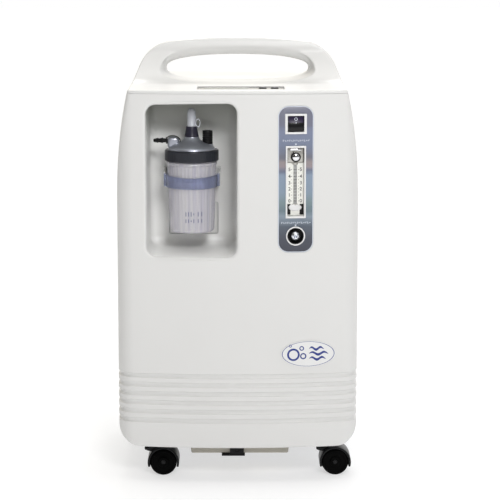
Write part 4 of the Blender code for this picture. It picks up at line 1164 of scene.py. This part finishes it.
def make_bracket():
    low, high = node_box("bottle_bracket")
    back = block("bracket_back", (low.x, high.y - 4, low.z), high, width=1.2)
    for side in (-1, 1):
        near, far = sorted((BOTTLE_X + side * 40, BOTTLE_X + side * 43.5))
        unite(back, block(f"arm_{side}", (near, BOTTLE_Y + 6.3, 449), (far, high.y - 1, 471), width=1.0))
    fit(back, "shell", "cabinet", "bottle_bracket")

    low, high = node_box("filter_door")
    gap = Vector((0.8, 0, 0.8))
    door = block("bay_door", low + gap, high - gap, width=0.7)
    carve(door, lathe("door_notch", [(6, -1.2), (7.5, 3)], 40, lying(-40, low.y, 377, "-Y")))
    fit(door, "shell", "door", "filter_door")


# ---------------------------------------------------------------- casters


def make_caster(name, x, y, heading):
    """One twin-wheel caster. Its own X is the way it trails; its origin is on the swivel axis."""
    swivel = at(x, y, 0) @ Matrix.Rotation(math.radians(heading), 4, "Z")
    hub = (17.7, 20.5)
    across = swivel @ lying(hub[0], 0, hub[1], "+Y")

    roof = arc(hub, 24.4, -18, 198, 40) + arc(hub, 21.1, 198, -18, 40)
    hood = slab(f"{name}_hood", roof, -20.6, 20.6, swivel, 1.1, 3)
    web = slab(f"{name}_web", arc(hub, 22, 8, 330, 40), -4.2, 4.2, swivel)
    carve(web, block(f"{name}_cut", (-30, -30, -30), (70, 30, 5), swivel))
    profile = [(0, 36), (10, 36), (10, 46.6), (9.2, 47.5), (0, 47.5)]
    neck = lathe(f"{name}_neck", profile, 40, swivel, soft=0.6)
    shelf = block(f"{name}_shelf", (-11.5, -12.5, 38.5), (9, 12.5, 43.6), swivel, 1.6, 4)
    stem = lathe(f"{name}_stem", [(0, 44), (5, 44), (5, 54.3), (0, 54.3)], 32, swivel)
    axle = lathe(f"{name}_axle", [(0, -18.6), (3, -18.6), (3, 18.6), (0, 18.6)], 32, across)
    unite(hood, web, neck, shelf, stem, axle)
    fit(hood, "black", f"{name}_caster", f"{name}_fork")

    profile = [(3.4, 4.7), (17.8, 4.7), (19.9, 5.4), (20.5, 7.1), (20.5, 16.2), (20.0, 17.9), (18.6, 18.9)]
    profile += [(16.4, 19.2), (15.6, 17.4), (8.4, 16.4), (7.6, 18.8), (6.6, 19.2), (3.4, 19.2)]
    for side, turn in (("left", -1), ("right", 1)):
        mirrored = [(radius, turn * height) for radius, height in profile]
        tyre = lathe(f"{name}_{side}_tyre", mirrored, 72, across, ring=True, soft=0.5)
        fit(tyre, "wheel", f"{name}_{side}", f"{name}_wheel_{side}")


# ---------------------------------------------------------------- rear fittings


def make_rear_fittings():
    low, high = node_box("filter_grille")
    grille = block("grille", low, high, width=2.2, segments=4)
    hollow = block("grille_hollow", low + Vector((4, -9, 4)), high - Vector((4, 2.8, 4)))
    slots = []
    for number in range(10):
        outline = round_rectangle(100, 4.6, 2.2, (0, low.z + 11.75 + 10.5 * number), 5)
        slots.append(slab(f"grille_slot_{number}", outline, 178, 200))
    fit(carve(grille, hollow, *slots), "shell", "grille", "filter_grille")

    low, high = node_box("power_inlet")
    middle = at((low.x + high.x) / 2, 0, (low.z + high.z) / 2)
    outline = [(-12.5, -9), (12.5, -9), (12.5, 5), (8.5, 9), (-8.5, 9), (-12.5, 5)]
    inlet = carve(block("inlet", low, high, width=1.2), slab("socket_space", outline, 172, 200, middle))
    unite(inlet, block("socket_core", (-8, 170, -4.5), (8, 187, 4.5), middle, 0.8))
    fit(inlet, "black", "cabinet", "power_inlet")
    metal_pieces = [
        block(f"pin_{x}", (x - 1, 176, z - 2.2), (x + 1, 186, z + 2.2), middle, 0.3)
        for x, z in ((-10.1, -1.5), (10.1, -1.5), (0, 6.6))
    ]
    profile = [(0, -2), (2.2, -2), (2.2, 0.1), (1.2, 0.45), (0, 0.5)]
    for x in (-109.5, -70.5):
        screw = lathe(f"inlet_screw_{x}", profile, 28, lying(x, 189.3, 120.5, "+Y"), soft=0.2)
        metal_pieces.append(carve(screw, block("screw_slot", (x - 2.4, 189.4, 120.2), (x + 2.4, 190.5, 120.8))))
    fit(merge("inlet_metal", *metal_pieces), "steel", "cabinet", slot="steel")

    profile = [(0, -20), (4.0, -20), (4.0, -2.7), (3.3, -2.0), (2.0, -2.4), (0, -2.5)]
    button = lathe("trip_button", profile, 36, lying(-40, 190, 120.5, "+Y"), soft=0.3)
    fit(button, "black", "breaker", "breaker_button")

    caps = []
    profile = [(0, -1.5), (4.6, -1.5), (4.6, -0.25), (3.8, 0.0), (0, -0.05)]
    for x, z in ((-150, 85), (150, 85), (-150, 320), (150, 320), (-146, 555), (146, 555)):
        cap = lathe(f"cover_screw_{x}_{z}", profile, 36, lying(x, 190, z, "+Y"), soft=0.3)
        cross = [
            block("cross", (x - wide, 188.8, z - tall), (x + wide, 195, z + tall))
            for wide, tall in ((2.3, 0.4), (0.4, 2.3))
        ]
        caps.append(carve(cap, *cross))
    fit(merge("cover_screws", *caps), "steel", "cabinet", slot="steel")


make_front_cover()
make_rear_cover()
make_top_cover()
make_display()
make_base()
make_label()
make_switch()
make_meter()
make_port()
make_badge()
make_jar()
make_lid()
make_collar()
make_bracket()
make_caster("front_left", -133, -125, 0)
make_caster("front_right", 133, -125, 0)
make_caster("rear_left", -133, 125, 90)
make_caster("rear_right", 133, 125, 90)
make_rear_fittings()


# ---------------------------------------------------------------- camera, light, floor


def soft_light(name, place, aim, size, power):
    data = bpy.data.lights.new(name, "AREA")
    data.shape = "RECTANGLE"
    data.size, data.size_y = size
    data.energy = power
    lamp = bpy.data.objects.new(name, data)
    bpy.context.scene.collection.objects.link(lamp)
    lamp.location = place
    lamp.rotation_euler = (Vector(aim) - Vector(place)).to_track_quat("-Z", "Y").to_euler()


def studio_world():
    """White all round behind the object. As a light it is dim from the left and brighter from the right."""
    world = bpy.data.worlds.new("studio")
    world.use_nodes = True
    tree = world.node_tree
    tree.nodes.clear()
    across = spread(tree, coordinate(tree, "X", "Generated"), 0.0, 0.30, -0.15, 1.0)
    zenith = spread(tree, coordinate(tree, "Z", "Generated"), 0.0, 0.62, 0.45, 0.95)
    behind = spread(tree, coordinate(tree, "Y", "Generated"), 0.0, 1.25, 0.30, 0.95)
    strength = sum_of(tree, across, sum_of(tree, zenith, behind))
    warmth = ramp(tree, across, ((0.0, (1.0, 0.95, 0.84)), (0.12, WHITE)))
    lighting = add(tree, "Background", Color=warmth, Strength=strength)
    backdrop = add(tree, "Background", Color=(*WHITE, 1), Strength=1.0)
    mixed = add(tree, "MixShader", Fac=add(tree, "LightPath").outputs["Is Camera Ray"])
    tree.links.new(lighting.outputs["Background"], mixed.inputs[1])
    tree.links.new(backdrop.outputs["Background"], mixed.inputs[2])
    add(tree, "OutputWorld", Surface=mixed.outputs["Shader"])
    bpy.context.scene.world = world


def make_floor():
    """A pale floor that glows a little, more so further out, so that it runs into the backdrop."""
    bpy.ops.mesh.primitive_plane_add(size=1)
    floor = fresh("floor", Matrix.Diagonal((30, 30, 1, 1)))
    finish, tree, shader = shader_of("floor_white")
    reach = tree.nodes.new("ShaderNodeVectorMath")
    reach.operation = "LENGTH"
    tree.links.new(add(tree, "TexCoord").outputs["Object"], reach.inputs[0])
    tones = ((0.35, (0.455, 0.46, 0.47)), (0.65, (0.475, 0.475, 0.48)))
    wire(
        tree,
        shader,
        Base_Color=ramp(tree, noise(tree, 1.5, 2), tones),
        Roughness=0.85,
        Emission_Color=(*WHITE, 1),
        Emission_Strength=spread(tree, reach.outputs["Value"], 0.55, 0.74, 0.5, 2.2),
    )
    floor.data.materials.append(finish)


soft_light("key_light", (0.55, -2.90, 1.95), (0, 0, 0.42), (0.8, 0.6), 49)
soft_light("top_light", (0.1, -0.2, 2.6), (0, 0, 0.3), (1.6, 1.6), 18)
soft_light("deck_light", (0, 1.20, 1.90), (0, -0.10, 0.60), (0.8, 0.4), 11)
studio_world()
make_floor()

camera_data = bpy.data.cameras.new("camera")
camera_data.lens = 146.2
camera_data.sensor_width = 36
camera = bpy.data.objects.new("camera", camera_data)
camera.location = (0, -3.190, 0.8634)
camera.rotation_euler = (math.radians(80.5), 0, math.radians(-0.353))
bpy.context.scene.collection.objects.link(camera)
bpy.context.scene.camera = camera
bpy.context.scene.view_settings.view_transform = "Standard"
